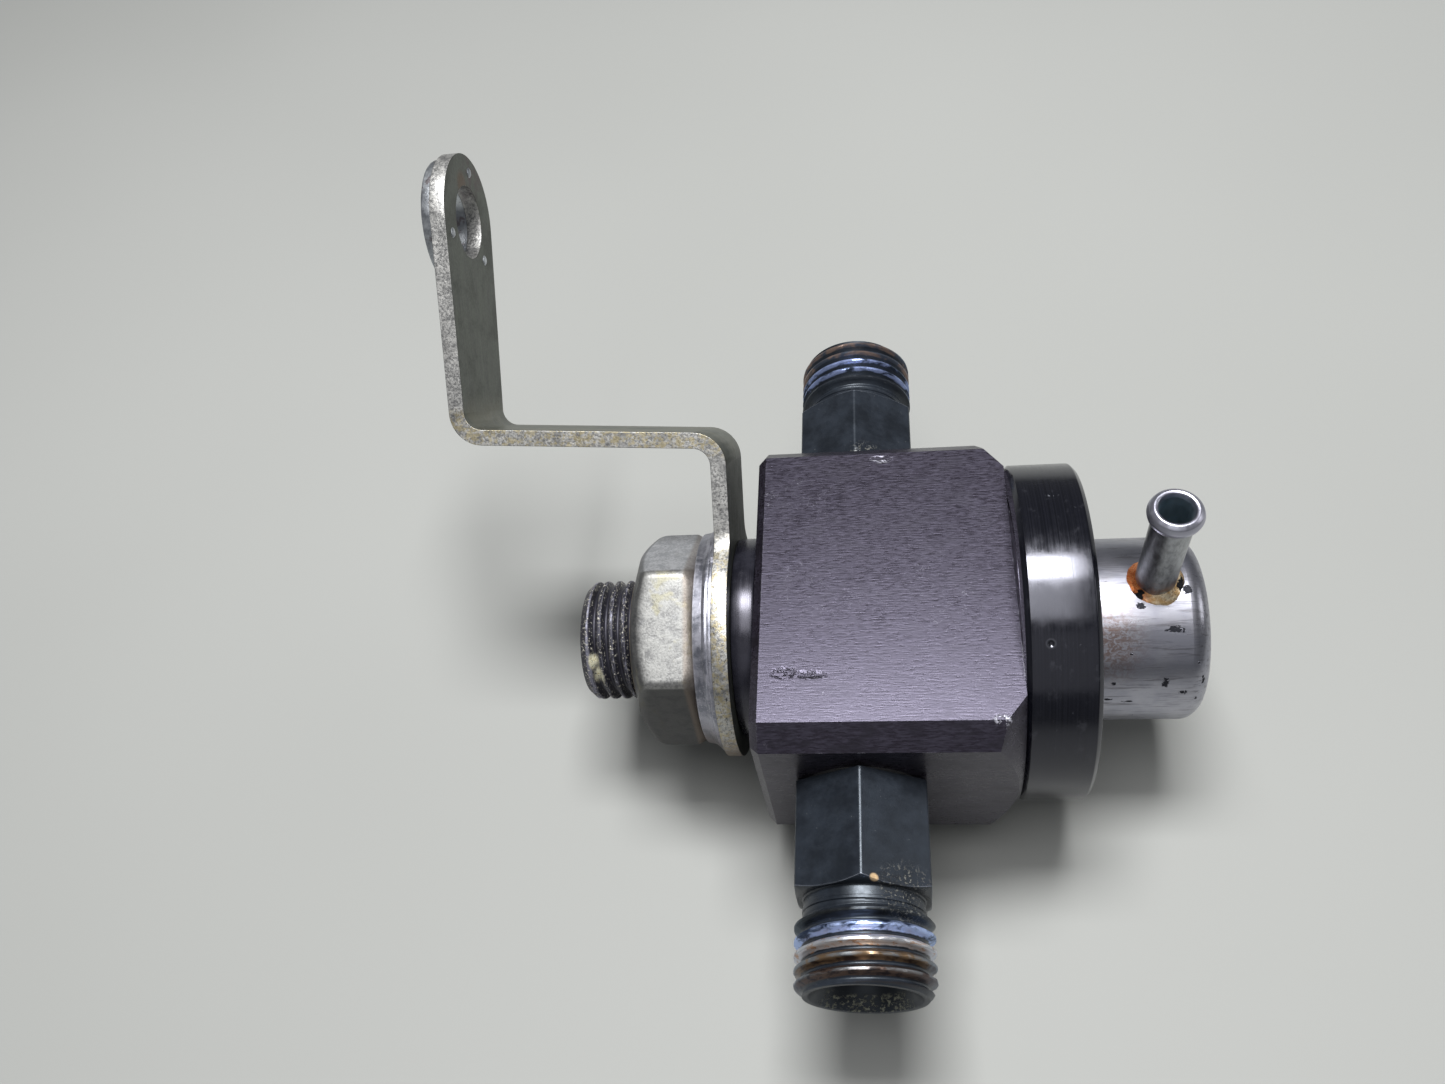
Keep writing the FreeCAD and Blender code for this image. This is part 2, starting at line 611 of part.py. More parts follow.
# ------------------------------------------------------------ bracket
def sheet_profile():
    """Side view of the bent strip in its own XZ plane, corners in order."""
    left = -d.far_leg_left
    plate_left = -d.bracket_right - d.sheet
    top = d.fixing_height + d.fixing_end_radius + 2.0
    bottom = -d.bracket_ring_radius - 2.0
    slope = (d.far_bend_height - d.near_bend_height) / (d.far_leg_left - d.bracket_right - d.sheet)
    return [
        (plate_left, bottom), (-d.bracket_right, bottom),
        (-d.bracket_right, d.near_bend_height - slope * d.sheet),
        (left + d.sheet, d.far_bend_height - slope * d.sheet),
        (left + d.sheet, top), (left, top),
        (left, d.far_bend_height - d.sheet), (plate_left, d.near_bend_height - d.sheet)]


def make_bracket():
    body = new_body("bracket_strip")
    side = new_sketch(body, "bent_strip_side", "XZ_Plane", sheet_profile())
    strip = body.newObject("PartDesign::Pad", "bent_strip")
    strip.Profile = side
    strip.Length = (d.bracket_ring_radius * 2 + 4.0).value
    bind(strip, "Length", d.bracket_ring_radius * 2 + 4.0)
    strip.Midplane = True
    body.Tip = strip
    doc.recompute()

    def bend(x, height, tol=1.2):
        def test(edge):
            box = edge.BoundBox
            return (box.YLength > 10 and box.XLength < 0.05 and box.ZLength < 0.05
                    and abs(box.XMin - x) < 0.05 and abs(box.ZMin - height) < tol)
        return test

    inner = d.bend_inner
    near, far = d.near_bend_height.value, d.far_bend_height.value
    right, left, thick = -d.bracket_right.value, -d.far_leg_left.value, d.sheet.value
    for name, x, height, radius in (
            ("near_bend_outside", right, near, inner + d.sheet),
            ("near_bend_inside", right - thick, near - thick, inner),
            ("far_bend_outside", left, far - thick, inner + d.sheet),
            ("far_bend_inside", left + thick, far, inner)):
        fillet(body, name, edges_where(body.Tip.Shape, bend(x, height)), radius)
    doc.recompute()

    # front view: ring end, straight neck, slightly flared leg and round tip
    ring = primitive("Cylinder", "bracket_ring", {"Radius": d.bracket_ring_radius, "Height": 10.0},
                     x=-d.bracket_right - 6.0, rotation=ALONG_X)
    neck = primitive("Box", "bracket_neck", {
        "Length": 60.0, "Width": d.strip_half_width * 2, "Height": d.far_bend_height},
        x=-60.0 - d.bracket_right + 6.0, y=-d.strip_half_width)
    flare = new_outline("bracket_flare", [
        (-d.strip_half_width, d.far_bend_height), (d.strip_half_width, d.far_bend_height),
        (d.fixing_end_radius, d.fixing_height), (-d.fixing_end_radius, d.fixing_height)])
    leg = doc.addObject("Part::Extrusion", "bracket_leg")
    leg.Base = flare
    leg.DirMode = "Custom"
    leg.Dir = Vector(1, 0, 0)
    leg.LengthFwd = 10.0
    leg.Solid = True
    place(leg, x=-d.far_leg_left - 5.0)
    tip = primitive("Cylinder", "bracket_tip", {"Radius": d.fixing_end_radius, "Height": 10.0},
                    x=-d.far_leg_left - 5.0, z=d.fixing_height, rotation=ALONG_X)
    front = doc.addObject("Part::MultiFuse", "bracket_front")
    front.Shapes = [ring, neck, leg, tip]
    front.Refine = True
    blank = boolean("Common", "bracket_blank", body, front)
    doc.recompute()

    meet = math.sqrt(d.bracket_ring_radius.value ** 2 - d.strip_half_width.value ** 2)
    numbers = []
    for index, edge in enumerate(blank.Shape.Edges, start=1):
        box = edge.BoundBox
        if (abs(box.XLength - d.sheet.value) < 0.01 and abs(box.Center.z - meet) < 0.05
                and abs(abs(box.Center.y) - d.strip_half_width.value) < 0.05):
            numbers.append((index, d.neck_round.value, d.neck_round.value))
    if len(numbers) != 2:
        raise ValueError("neck corners not found")
    rounded = doc.addObject("Part::Fillet", "bracket_rounded")
    rounded.Base = blank
    rounded.Edges = numbers

    stub_hole = primitive("Cylinder", "bracket_stub_hole",
                          {"Radius": d.bracket_bore_radius, "Height": 10.0},
                          x=-d.bracket_right - 6.0, rotation=ALONG_X)
    fixing_hole = primitive("Cylinder", "bracket_fixing_hole",
                            {"Radius": d.fixing_hole_radius, "Height": 10.0},
                            x=-d.far_leg_left - 5.0, z=d.fixing_height, rotation=ALONG_X)
    holes = boolean("Fuse", "bracket_holes", stub_hole, fixing_hole)
    bracket = boolean("Cut", "bracket", rounded, holes)
    place(bracket, z=d.axis_height, rotation=Rotation(Vector(1, 0, 0), d.bracket_angle.value))

    disc = primitive("Cylinder", "backing_disc_blank", {
        "Radius": d.disc_radius, "Height": d.disc},
        x=-d.far_leg_left - d.disc, z=d.fixing_height, rotation=ALONG_X)
    doc.recompute()
    soft = doc.addObject("Part::Fillet", "backing_disc_rounded")
    soft.Base = disc
    soft.Edges = [(i, d.disc_edge.value, d.disc_edge.value)
                  for i, edge in enumerate(disc.Shape.Edges, start=1) if edge.isClosed() and edge.Length > 30]
    disc_hole = primitive("Cylinder", "backing_disc_hole",
                          {"Radius": d.fixing_hole_radius, "Height": 10.0},
                          x=-d.far_leg_left - 5.0, z=d.fixing_height, rotation=ALONG_X)
    backing = boolean("Cut", "backing_disc", soft, disc_hole)
    place(backing, z=d.axis_height, rotation=Rotation(Vector(1, 0, 0), d.bracket_angle.value))
    return bracket


def new_outline(name, points):
    """A free-standing sketch in the YZ plane, first coordinate along Y, second along Z."""
    sketch = doc.addObject("Sketcher::SketchObject", name)
    outline(sketch, points)
    sketch.Placement = Placement(Vector(0, 0, 0), Rotation(Vector(1, 1, 1), 120))
    return sketch


# ------------------------------------------------------------ build and export
make_block()
make_ring()
make_housing()
make_nipple()
make_diaphragm()
make_stack()
make_seat()
make_spring()
make_union("inlet_union", 1)
make_union("outlet_union", -1)
make_gasket("inlet_gasket", 1)
make_gasket("outlet_gasket", -1)
make_stub()
make_nut()
make_washers()
make_bracket()
doc.recompute()

PIECES = [
    "valve_block", "clamp_ring", "spring_housing", "vacuum_nipple", "nipple_braze",
    "diaphragm", "back_plate", "spring_cup", "valve_holder", "valve_ball", "valve_seat",
    "main_spring", "inlet_union", "outlet_union", "inlet_gasket", "outlet_gasket",
    "return_stub", "stub_seal", "stub_nut", "flange_washer", "lock_washer", "bracket",
    "backing_disc",
]

for item in doc.Objects:
    if "Invalid" in item.State or "Error" in item.State:
        raise ValueError("%s is %s" % (item.Name, item.State))

for name in PIECES:
    piece = doc.getObjectsByLabel(name)[0]
    shape = piece.Shape
    if shape.isNull() or not shape.isValid() or shape.Volume <= 0 or len(shape.Solids) != 1:
        raise ValueError("%s has no single valid solid" % name)
    shape.exportStep("parts/%s.step" % name)
    print("%-16s %9.1f mm3" % (name, shape.Volume))
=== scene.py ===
from math import ceil, cos, pi, radians, sin, sqrt, tan

import bmesh
import bpy
from mathutils import Matrix, Vector, noise


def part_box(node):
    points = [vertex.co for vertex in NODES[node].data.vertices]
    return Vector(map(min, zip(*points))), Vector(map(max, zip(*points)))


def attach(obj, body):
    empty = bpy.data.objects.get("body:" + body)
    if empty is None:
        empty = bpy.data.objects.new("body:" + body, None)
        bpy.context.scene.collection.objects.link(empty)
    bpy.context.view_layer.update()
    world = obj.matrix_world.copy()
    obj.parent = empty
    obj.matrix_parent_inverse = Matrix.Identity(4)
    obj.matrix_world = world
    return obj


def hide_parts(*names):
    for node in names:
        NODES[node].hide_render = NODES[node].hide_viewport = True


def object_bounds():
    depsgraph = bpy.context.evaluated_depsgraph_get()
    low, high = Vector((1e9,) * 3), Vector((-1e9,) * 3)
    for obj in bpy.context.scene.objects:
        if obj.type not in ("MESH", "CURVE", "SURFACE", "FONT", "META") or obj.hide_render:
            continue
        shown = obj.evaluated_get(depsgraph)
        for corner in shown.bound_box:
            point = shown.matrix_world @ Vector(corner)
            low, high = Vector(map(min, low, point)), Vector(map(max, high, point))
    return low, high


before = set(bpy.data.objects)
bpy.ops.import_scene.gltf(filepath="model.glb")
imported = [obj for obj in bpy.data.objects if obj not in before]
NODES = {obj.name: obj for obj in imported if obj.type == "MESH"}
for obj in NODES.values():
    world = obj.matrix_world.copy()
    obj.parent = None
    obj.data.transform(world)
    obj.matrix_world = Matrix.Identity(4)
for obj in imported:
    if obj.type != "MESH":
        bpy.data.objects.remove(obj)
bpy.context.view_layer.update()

MM = 0.001
AXIS_Z = 12.5                      # the main axis and the port axis cross this far above the underside
PITCH = 25.4 / 18                  # thread of the side unions and of the return stub
SWIVEL = radians(-48.0)       # the bracket leans this far from upright, about the main axis
BRACKET_UP = Vector((0.0, -sin(SWIVEL), cos(SWIVEL)))
BRACKET_ACROSS = Vector((0.0, cos(SWIVEL), sin(SWIVEL)))
FIXING_HOLE_UP = 50.45             # the bracket's fixing hole, up its leg from the main axis
NIPPLE_X = (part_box("vacuum_nipple")[0].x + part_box("vacuum_nipple")[1].x) / 2 / MM
THREAD_START = 33.1                # where the thread of the side unions runs in
UNION_PHASE = 0.67                 # turns the thread of the side unions about their axis
UNION_MOUTH = 5.65                 # radius of their coned mouth
CAN_RADIUS = 10.3                  # outside of the spring housing
TUBE_RADIUS = 2.1                  # outside of the vacuum nipple
RING_DIMPLE = (19.4, -10.5, 28.4)  # punch mark on the clamp ring


# ---------- camera
def add_camera():
    """Looks down on the part from its front; lens and place come from a pinhole fit."""
    data = bpy.data.cameras.new("camera")
    data.sensor_width = 36.0
    data.lens = 29.003
    data.clip_start = 0.005
    camera = bpy.data.objects.new("camera", data)
    bpy.context.scene.collection.objects.link(camera)
    tilt, swing, roll = 2.5463949, 0.1431791, -0.0345059
    world_to_camera = (Matrix.Rotation(roll, 3, "Z") @ Matrix.Rotation(swing, 3, "Y")
                       @ Matrix.Rotation(tilt, 3, "X"))
    axes_crossing_seen = Vector((16.1945, 10.8798, 137.3123))
    camera_to_world = world_to_camera.transposed()
    position = Vector((0, 0, AXIS_Z)) - camera_to_world @ axes_crossing_seen
    look_down_minus_z = Matrix(((1, 0, 0), (0, -1, 0), (0, 0, -1)))
    camera.matrix_world = (Matrix.Translation(position * MM)
                           @ (camera_to_world @ look_down_minus_z).to_4x4())
    bpy.context.scene.camera = camera


# ---------- mesh helpers
def make_object(name, verts, faces, smooth_angle=35.0):
    """A mesh from millimetre points; doubles merged, faces outwards, sharp edges kept by angle."""
    bm = bmesh.new()
    points = [bm.verts.new(Vector(v) * MM) for v in verts]
    for face in faces:
        corners = [points[i] for i in face]
        if len(set(corners)) == len(corners):
            try:
                bm.faces.new(corners)
            except ValueError:
                pass
    bmesh.ops.remove_doubles(bm, verts=bm.verts, dist=1e-7)
    bmesh.ops.dissolve_degenerate(bm, edges=bm.edges, dist=1e-7)
    bmesh.ops.recalc_face_normals(bm, faces=bm.faces)
    mesh = bpy.data.meshes.new(name)
    bm.to_mesh(mesh)
    bm.free()
    for poly in mesh.polygons:
        poly.use_smooth = True
    mesh.set_sharp_from_angle(angle=radians(smooth_angle))
    obj = bpy.data.objects.new(name, mesh)
    bpy.context.scene.collection.objects.link(obj)
    return obj


def rounded(profile, steps=4):
    """A closed profile of (position, radius[, corner radius]) with its corners turned into arcs."""
    out, count = [], len(profile)
    for i, corner in enumerate(profile):
        here = Vector(corner[:2])
        radius = corner[2] if len(corner) > 2 else 0.0
        before = Vector(profile[i - 1][:2]) - here
        after = Vector(profile[(i + 1) % count][:2]) - here
        angle = before.angle(after)
        if radius <= 0 or angle > pi - 0.01:
            out.append(tuple(here))
            continue
        reach = min(radius / tan(angle / 2), before.length * 0.49, after.length * 0.49)
        radius = reach * tan(angle / 2)
        bisector = (before.normalized() + after.normalized()).normalized()
        centre = here + bisector * (radius / sin(angle / 2))
        start = here + before.normalized() * reach - centre
        end = here + after.normalized() * reach - centre
        turn = start.angle(end) * (1 if start.x * end.y - start.y * end.x > 0 else -1)
        for k in range(steps + 1):
            out.append(tuple(centre + Matrix.Rotation(turn * k / steps, 2) @ start))
    return out


def around(count):
    return [2 * pi * k / count for k in range(count)]


def wobble(t, reach, depth):
    """Noise on a circle of the given reach, the same in each run."""
    return noise.noise(Vector((cos(t) * reach, sin(t) * reach, depth)))


def ends(node):
    """Where a CAD piece starts and ends along X, in mm."""
    low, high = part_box(node)
    return low.x / MM, high.x / MM


def value_at(item, angle):
    return item(angle) if callable(item) else item


def turned(name, rows, angles, place, helix=(0, 0), smooth_angle=35.0):
    """A closed turned surface. Rows are (position, radius), numbers or functions of the angle.

    helix is the first and the last row of a thread: past the last angle each of its rows
    carries on as the row one turn further along."""
    count, total = len(angles), len(rows)
    first, last = helix
    verts = []
    for position, radius in rows:
        for t in angles:
            r = value_at(radius, t)
            verts.append(place(value_at(position, t), r * cos(t), r * sin(t)))

    def carried_on(i):
        return min(i + len(THREAD_SHAPE), last) if first <= i < last else i

    faces = []
    for k in range(count):
        m = (k + 1) % count
        for i in range(total):
            j = (i + 1) % total
            far_i, far_j = (i, j) if m else (carried_on(i), carried_on(j))
            faces.append((i * count + k, far_i * count + m, far_j * count + m, j * count + k))
    return make_object(name, verts, faces, smooth_angle)


def main_axis(a, u, v):
    """a runs along +X from the port axis, u up, v along -Y."""
    return (a, -v, AXIS_Z + u)


def port_axis(side):
    """a runs outwards along one port, u up."""
    return lambda a, u, v: (side * v, side * a, AXIS_Z + u)


def bracket_point(x, across, up):
    """A point in the bracket's own frame: along X, across its strip and up its legs."""
    return Vector((x, 0, AXIS_Z)) + BRACKET_ACROSS * across + BRACKET_UP * up


def hexagon(flat_to_flat, corner_cap, turn=0.0):
    """Radius of a hexagon with a corner at the given angle, its corners cut at corner_cap."""
    def radius(t):
        off_flat = (t - turn) % (pi / 3) - pi / 6
        return min(flat_to_flat / 2 / cos(off_flat), corner_cap)
    return radius


def hexagon_angles(step_degrees, turn=0.0, near=(0.0, 0.6, 1.2)):
    """Even angles, with extra ones close beside each corner of the hexagon."""
    out = set()
    for corner in range(6):
        start = 60 * corner
        for d in near:
            out |= {start + d, start - d}
        steps = round(60 / step_degrees)
        out |= {start + 60 * k / steps for k in range(1, steps)}
    return sorted(radians(a % 360) + turn for a in out)


# phase within one pitch and height, 0 at the root and 1 at the crest
THREAD_SHAPE = [(0.0, 0.96), (0.03, 1.0), (0.20, 1.0), (0.23, 0.96), (0.34, 0.60), (0.50, 0.06),
                (0.56, 0.0), (0.64, 0.0), (0.70, 0.06), (0.88, 0.60)]


def thread_height(phase):
    """Height of the thread's profile at any phase, straight between its corners."""
    phase %= 1.0
    corners = THREAD_SHAPE + [(1.0, THREAD_SHAPE[0][1])]
    for (a, low), (b, high) in zip(corners, corners[1:]):
        if phase <= b:
            return low + (high - low) * (phase - a) / (b - a)
    return 1.0


def helix_rows(start, end, root, crest, limit, phase=0.0, nicks=0.0, seed=0.0):
    """Rows of a right-hand thread from start to end, each row at one phase of the profile."""
    def shape(a, t, height=None):
        if height is None:
            height = thread_height((a - start) / PITCH - phase - t / (2 * pi))
        full = root + (crest - root) * height
        if nicks and height > 0.5:
            full -= nicks * max(0.0, wobble(t, 6.5, a * 2.6 + seed) - 0.12)
        return min(full, limit(a))

    rows = []
    turns = int(ceil((end - start) / PITCH)) + 1
    for turn_index in range(-2, turns):
        for place_in_turn, height in THREAD_SHAPE:
            base = start + (turn_index + phase + place_in_turn) * PITCH

            def position(t, base=base):
                return min(max(base + PITCH * t / (2 * pi), start), end)

            def radius(t, base=base, height=height):
                raw = base + PITCH * t / (2 * pi)
                inside = start < raw < end
                return shape(min(max(raw, start), end), t, height if inside else None)
            rows.append((position, radius))
    return rows


def tidy_cad(name, width, angle=30.0):
    """Rounds the sharp edges of a CAD piece with modifiers; its own mesh stays as it is."""
    obj = NODES[name]
    weld = obj.modifiers.new("weld", "WELD")
    weld.merge_threshold = 2e-6
    flat = obj.modifiers.new("flat", "DECIMATE")
    flat.decimate_type = "DISSOLVE"
    flat.angle_limit = radians(0.5)
    bevel = obj.modifiers.new("edges", "BEVEL")
    bevel.width = width * MM
    bevel.segments = 3
    bevel.limit_method = "ANGLE"
    bevel.angle_limit = radians(angle)
    bevel.harden_normals = True
    return obj


def finish_piece(obj, body, material, nodes=()):
    obj.data.materials.clear()
    obj.data.materials.append(material)
    if nodes:
        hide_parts(*nodes)
    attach(obj, body)
    return obj


def dress(node, material):
    """Give a CAD piece its material."""
    slots = NODES[node].data.materials
    slots.clear()
    slots.append(material)


# ---------- material helper
def rgb(red, green, blue):
    """Linear colour from 0-255 display values."""
    def linear(c):
        c /= 255.0
        return c / 12.92 if c <= 0.04045 else ((c + 0.055) / 1.055) ** 2.4
    return (linear(red), linear(green), linear(blue), 1.0)


class Surface:
    """A node material; every method adds a node and returns the socket it makes."""

    def __init__(self, name, **constants):
        self.material = bpy.data.materials.new(name)
        self.material.use_nodes = True
        self.nodes = self.material.node_tree.nodes
        self.links = self.material.node_tree.links
        self.shader = self.nodes["Principled BSDF"]
        for key, value in constants.items():
            self.shader.inputs[key.replace("_", " ")].default_value = value
        self.place = self.millimetres()
        self.x, self.y, self.z = (self.part(self.place, axis) for axis in range(3))

    def feed(self, socket, item):
        if isinstance(item, bpy.types.NodeSocket):
            self.links.new(item, socket)
        else:
            socket.default_value = item

    def to(self, key, item):
        self.links.new(item, self.shader.inputs[key])

    def millimetres(self):
        source = self.nodes.new("ShaderNodeTexCoord")
        self.normal = source.outputs["Normal"]
        scale = self.nodes.new("ShaderNodeVectorMath")
        scale.operation = "SCALE"
        self.links.new(source.outputs["Object"], scale.inputs[0])
        scale.inputs["Scale"].default_value = 1000.0
        return scale.outputs[0]

    def vector(self, operation, a, b=(0.0, 0.0, 0.0), out=0):
        node = self.nodes.new("ShaderNodeVectorMath")
        node.operation = operation
        self.feed(node.inputs[0], a)
        self.feed(node.inputs[1], b)
        return node.outputs[out]

    def number(self, operation, a, b=0.0, clamp=False):
        node = self.nodes.new("ShaderNodeMath")
        node.operation = operation
        node.use_clamp = clamp
        self.feed(node.inputs[0], a)
        self.feed(node.inputs[1], b)
        return node.outputs[0]

    def part(self, vector, axis):
        node = self.nodes.new("ShaderNodeSeparateXYZ")
        self.feed(node.inputs[0], vector)
        return node.outputs[axis]

    def join(self, x, y, z):
        node = self.nodes.new("ShaderNodeCombineXYZ")
        for socket, item in zip(node.inputs, (x, y, z)):
            self.feed(socket, item)
        return node.outputs[0]

    def pattern(self, vector, detail, rough, twist=0.0, scale=1.0):
        node = self.nodes.new("ShaderNodeTexNoise")
        self.feed(node.inputs["Vector"], vector)
        node.inputs["Scale"].default_value = scale
        node.inputs["Detail"].default_value = detail
        node.inputs["Roughness"].default_value = rough
        node.inputs["Distortion"].default_value = twist
        return node.outputs[0]

    def noise(self, scale, detail, rough, twist=0.0):
        return self.pattern(self.place, detail, rough, twist, scale)

    def streaks(self, stretch, detail, rough, twist=0.0):
        """Noise scaled by axis; a fourth number in stretch shifts it."""
        shift = stretch[3:] * 3
        moved = self.vector("ADD", self.place, shift) if shift else self.place
        return self.pattern(self.vector("MULTIPLY", moved, stretch[:3]), detail, rough, twist)

    def step(self, value, low, high, start=0.0, end=1.0):
        """Smooth ramp from start to end as value goes from low to high; it falls where low > high."""
        node = self.nodes.new("ShaderNodeMapRange")
        node.interpolation_type = "SMOOTHSTEP"
        for socket, item in zip(node.inputs, (value, low, high, start, end)):
            self.feed(socket, item)
        return node.outputs[0]

    def mix(self, factor, a, b):
        node = self.nodes.new("ShaderNodeMix")
        node.data_type = "RGBA"
        self.feed(node.inputs[0], factor)
        self.feed(node.inputs[6], a)
        self.feed(node.inputs[7], b)
        return node.outputs[2]

    def tones(self, value, low, high, a, b):
        """From tone a to tone b as value goes from low to high."""
        return self.mix(self.step(value, low, high), a, b)

    def blend(self, a, share_a, b, share_b):
        return self.number("ADD", self.product(a, share_a), self.product(b, share_b))

    def inverse(self, value):
        return self.number("SUBTRACT", 1.0, value)

    def over(self, base, mask, amount, tone):
        """The base with a tone laid over it where the mask is 1, as far as the amount says."""
        return self.mix(self.product(mask, amount), base, tone)

    def product(self, *items):
        total = items[0]
        for item in items[1:]:
            total = self.number("MULTIPLY", total, item)
        return total

    def most(self, *items):
        total = items[0]
        for item in items[1:]:
            total = self.number("MAXIMUM", total, item)
        return total

    def radius(self, axis="X"):
        """Distance from the main axis (X) or the port axis (Y), in mm."""
        centred = self.vector("SUBTRACT", self.place, (0.0, 0.0, AXIS_Z))
        flat = self.vector("MULTIPLY", centred, (0, 1, 1) if axis == "X" else (1, 0, 1))
        return self.vector("LENGTH", flat, out=1)

    def near(self, point, inner, outer, squash=(1, 1, 1)):
        """1 within inner mm of a point, fading to 0 at outer mm."""
        away = self.vector("MULTIPLY", self.vector("SUBTRACT", self.place, point), squash)
        return self.step(self.vector("LENGTH", away, out=1), outer, inner)

    def edges(self, width, low=0.03, high=0.25):
        """1 along convex and concave edges within width mm."""
        bevel = self.nodes.new("ShaderNodeBevel")
        bevel.samples = 4
        bevel.inputs["Radius"].default_value = width * MM
        geometry = self.nodes.new("ShaderNodeNewGeometry")
        same = self.vector("DOT_PRODUCT", bevel.outputs[0], geometry.outputs["Normal"], out=1)
        return self.step(self.number("SUBTRACT", 1.0, same), low, high)

    def finished(self, *relief):
        """The material, with layers of relief (height, depth in mm) one over the other."""
        socket = self.shader.inputs["Normal"]
        for height, depth in relief:
            node = self.nodes.new("ShaderNodeBump")
            node.inputs["Strength"].default_value = 1.0
            node.inputs["Distance"].default_value = depth * MM
            self.links.new(height, node.inputs["Height"])
            if socket.links:
                self.links.new(socket.links[0].from_socket, node.inputs["Normal"])
            self.links.new(node.outputs[0], socket)
        return self.material

    def turning_marks(self, fine):
        """Fine rings about the main axis, on outside and end faces alike."""
        x, r = self.x, self.radius("X")
        return self.pattern(self.join(self.product(x, fine), self.product(r, fine), 0.0), 2.0, 0.6)


# ---------- materials
def block_material():
    m = Surface("block", IOR=1.54, Metallic=0.0, Specular_Tint=(0.80, 0.75, 1.0, 1.0))
    grain = m.streaks((1.0, 5.4, 5.4), 3.0, 0.6, 0.6)
    cloud = m.noise(0.09, 3.0, 0.5)
    patches = m.streaks((0.30, 0.45, 0.45, 5.0), 4.0, 0.6)
    lines = m.streaks((0.10, 5.0, 5.0, 7.0), 2.0, 0.5)
    scratch_run = m.streaks((0.5, 0.5, 0.5, 3.0), 2.0, 0.5, 1.5)
    scratch = m.step(m.number("ABSOLUTE", m.number("SUBTRACT", scratch_run, 0.5)), 0.004, 0.0)
    scratch = m.product(scratch, m.step(cloud, 0.5, 0.62))
    worn_edge = m.product(m.edges(0.22), m.step(m.noise(0.7, 4.0, 0.6), 0.55, 0.66))
    corner_chip = m.product(m.near((14.5, -17.0, 24.9), 0.25, 0.75, (0.6, 1.0, 0.7)),
                            m.step(m.noise(2.2, 3.0, 0.6), 0.47, 0.56))
    rear_ding = m.product(m.near((3.2, 16.2, 25.0), 0.4, 1.4, (0.9, 1.9, 1.0)),
                          m.step(m.streaks((1.0, 3.4, 1.0), 3.0, 0.6, 0.6), 0.50, 0.57))
    oval = m.near((-7.6, -11.4, 25.0), 0.7, 1.45, (0.85, 1.7, 1.0))
    tail = m.near((-5.0, -11.7, 25.0), 0.6, 2.0, (0.8, 3.2, 1.0))
    low_ding = m.product(m.most(oval, m.product(tail, 0.9)),
                         m.step(m.noise(1.7, 2.0, 0.5, 1.2), 0.46, 0.56))
    worn = m.most(m.product(worn_edge, 0.55), m.product(corner_chip, 0.9), m.product(rear_ding, 0.65),
                  m.product(scratch, 0.22))
    base = m.tones(grain, 0.34, 0.68, (0.0050, 0.0036, 0.0056, 1), (0.0215, 0.0195, 0.0280, 1))
    base = m.over(base, m.step(patches, 0.50, 0.64), 0.6, (0.0055, 0.0050, 0.0060, 1))
    base = m.over(base, low_ding, 0.75, (0.005, 0.005, 0.006, 1))
    m.to("Base Color", m.mix(worn, base, rgb(200, 200, 212)))
    tone = m.blend(grain, 0.65, patches, 0.35)
    m.to("Roughness", m.step(tone, 0.35, 0.66, 0.255, 0.385))
    return m.finished((grain, 0.014), (lines, 0.006),
                      (m.inverse(m.most(low_ding, rear_ding, corner_chip)), 0.07))


def ring_material():
    m = Surface("ring", IOR=1.60, Metallic=0.0, Specular_Tint=(0.86, 0.87, 1.0, 1.0))
    rings = m.turning_marks(8.0)
    cloud = m.streaks((0.16, 0.25, 0.25), 4.0, 0.6)
    scuff = m.streaks((0.8, 0.45, 0.45, 2.0), 5.0, 0.65)
    specks = m.step(m.noise(1.1, 4.0, 0.7), 0.69, 0.73)
    worn = m.product(m.edges(0.22), m.step(m.noise(0.6, 4.0, 0.6), 0.50, 0.66))
    dimple = m.near(RING_DIMPLE, 0.12, 0.42)
    rim = m.product(m.near(RING_DIMPLE, 0.42, 0.62), m.inverse(dimple))
    nick = m.near((21.0, 6.1, 30.6), 0.1, 0.8, (1.0, 2.2, 1.0))
    nick = m.product(nick, m.step(m.streaks((3.0, 1.0, 1.0), 2.0, 0.5), 0.50, 0.56))
    base = m.tones(rings, 0.35, 0.7, (0.0016, 0.0018, 0.0032, 1), (0.0045, 0.0048, 0.0076, 1))
    base = m.over(base, m.step(scuff, 0.56, 0.70), 0.30, (0.040, 0.041, 0.050, 1))
    base = m.over(base, specks, 0.15, rgb(120, 122, 128))
    base = m.over(base, rim, 0.10, rgb(120, 122, 130))
    base = m.over(base, nick, 0.5, rgb(160, 162, 172))
    base = m.mix(dimple, base, (0.003, 0.003, 0.004, 1))
    m.to("Base Color", m.over(base, worn, 0.35, rgb(170, 172, 182)))
    finish = m.blend(rings, 0.35, scuff, 0.65)
    m.to("Roughness", m.step(finish, 0.3, 0.7, 0.12, 0.24))
    return m.finished((rings, 0.0010), (cloud, 0.008),
                      (m.inverse(m.most(dimple, m.product(nick, 0.3))), 0.12))


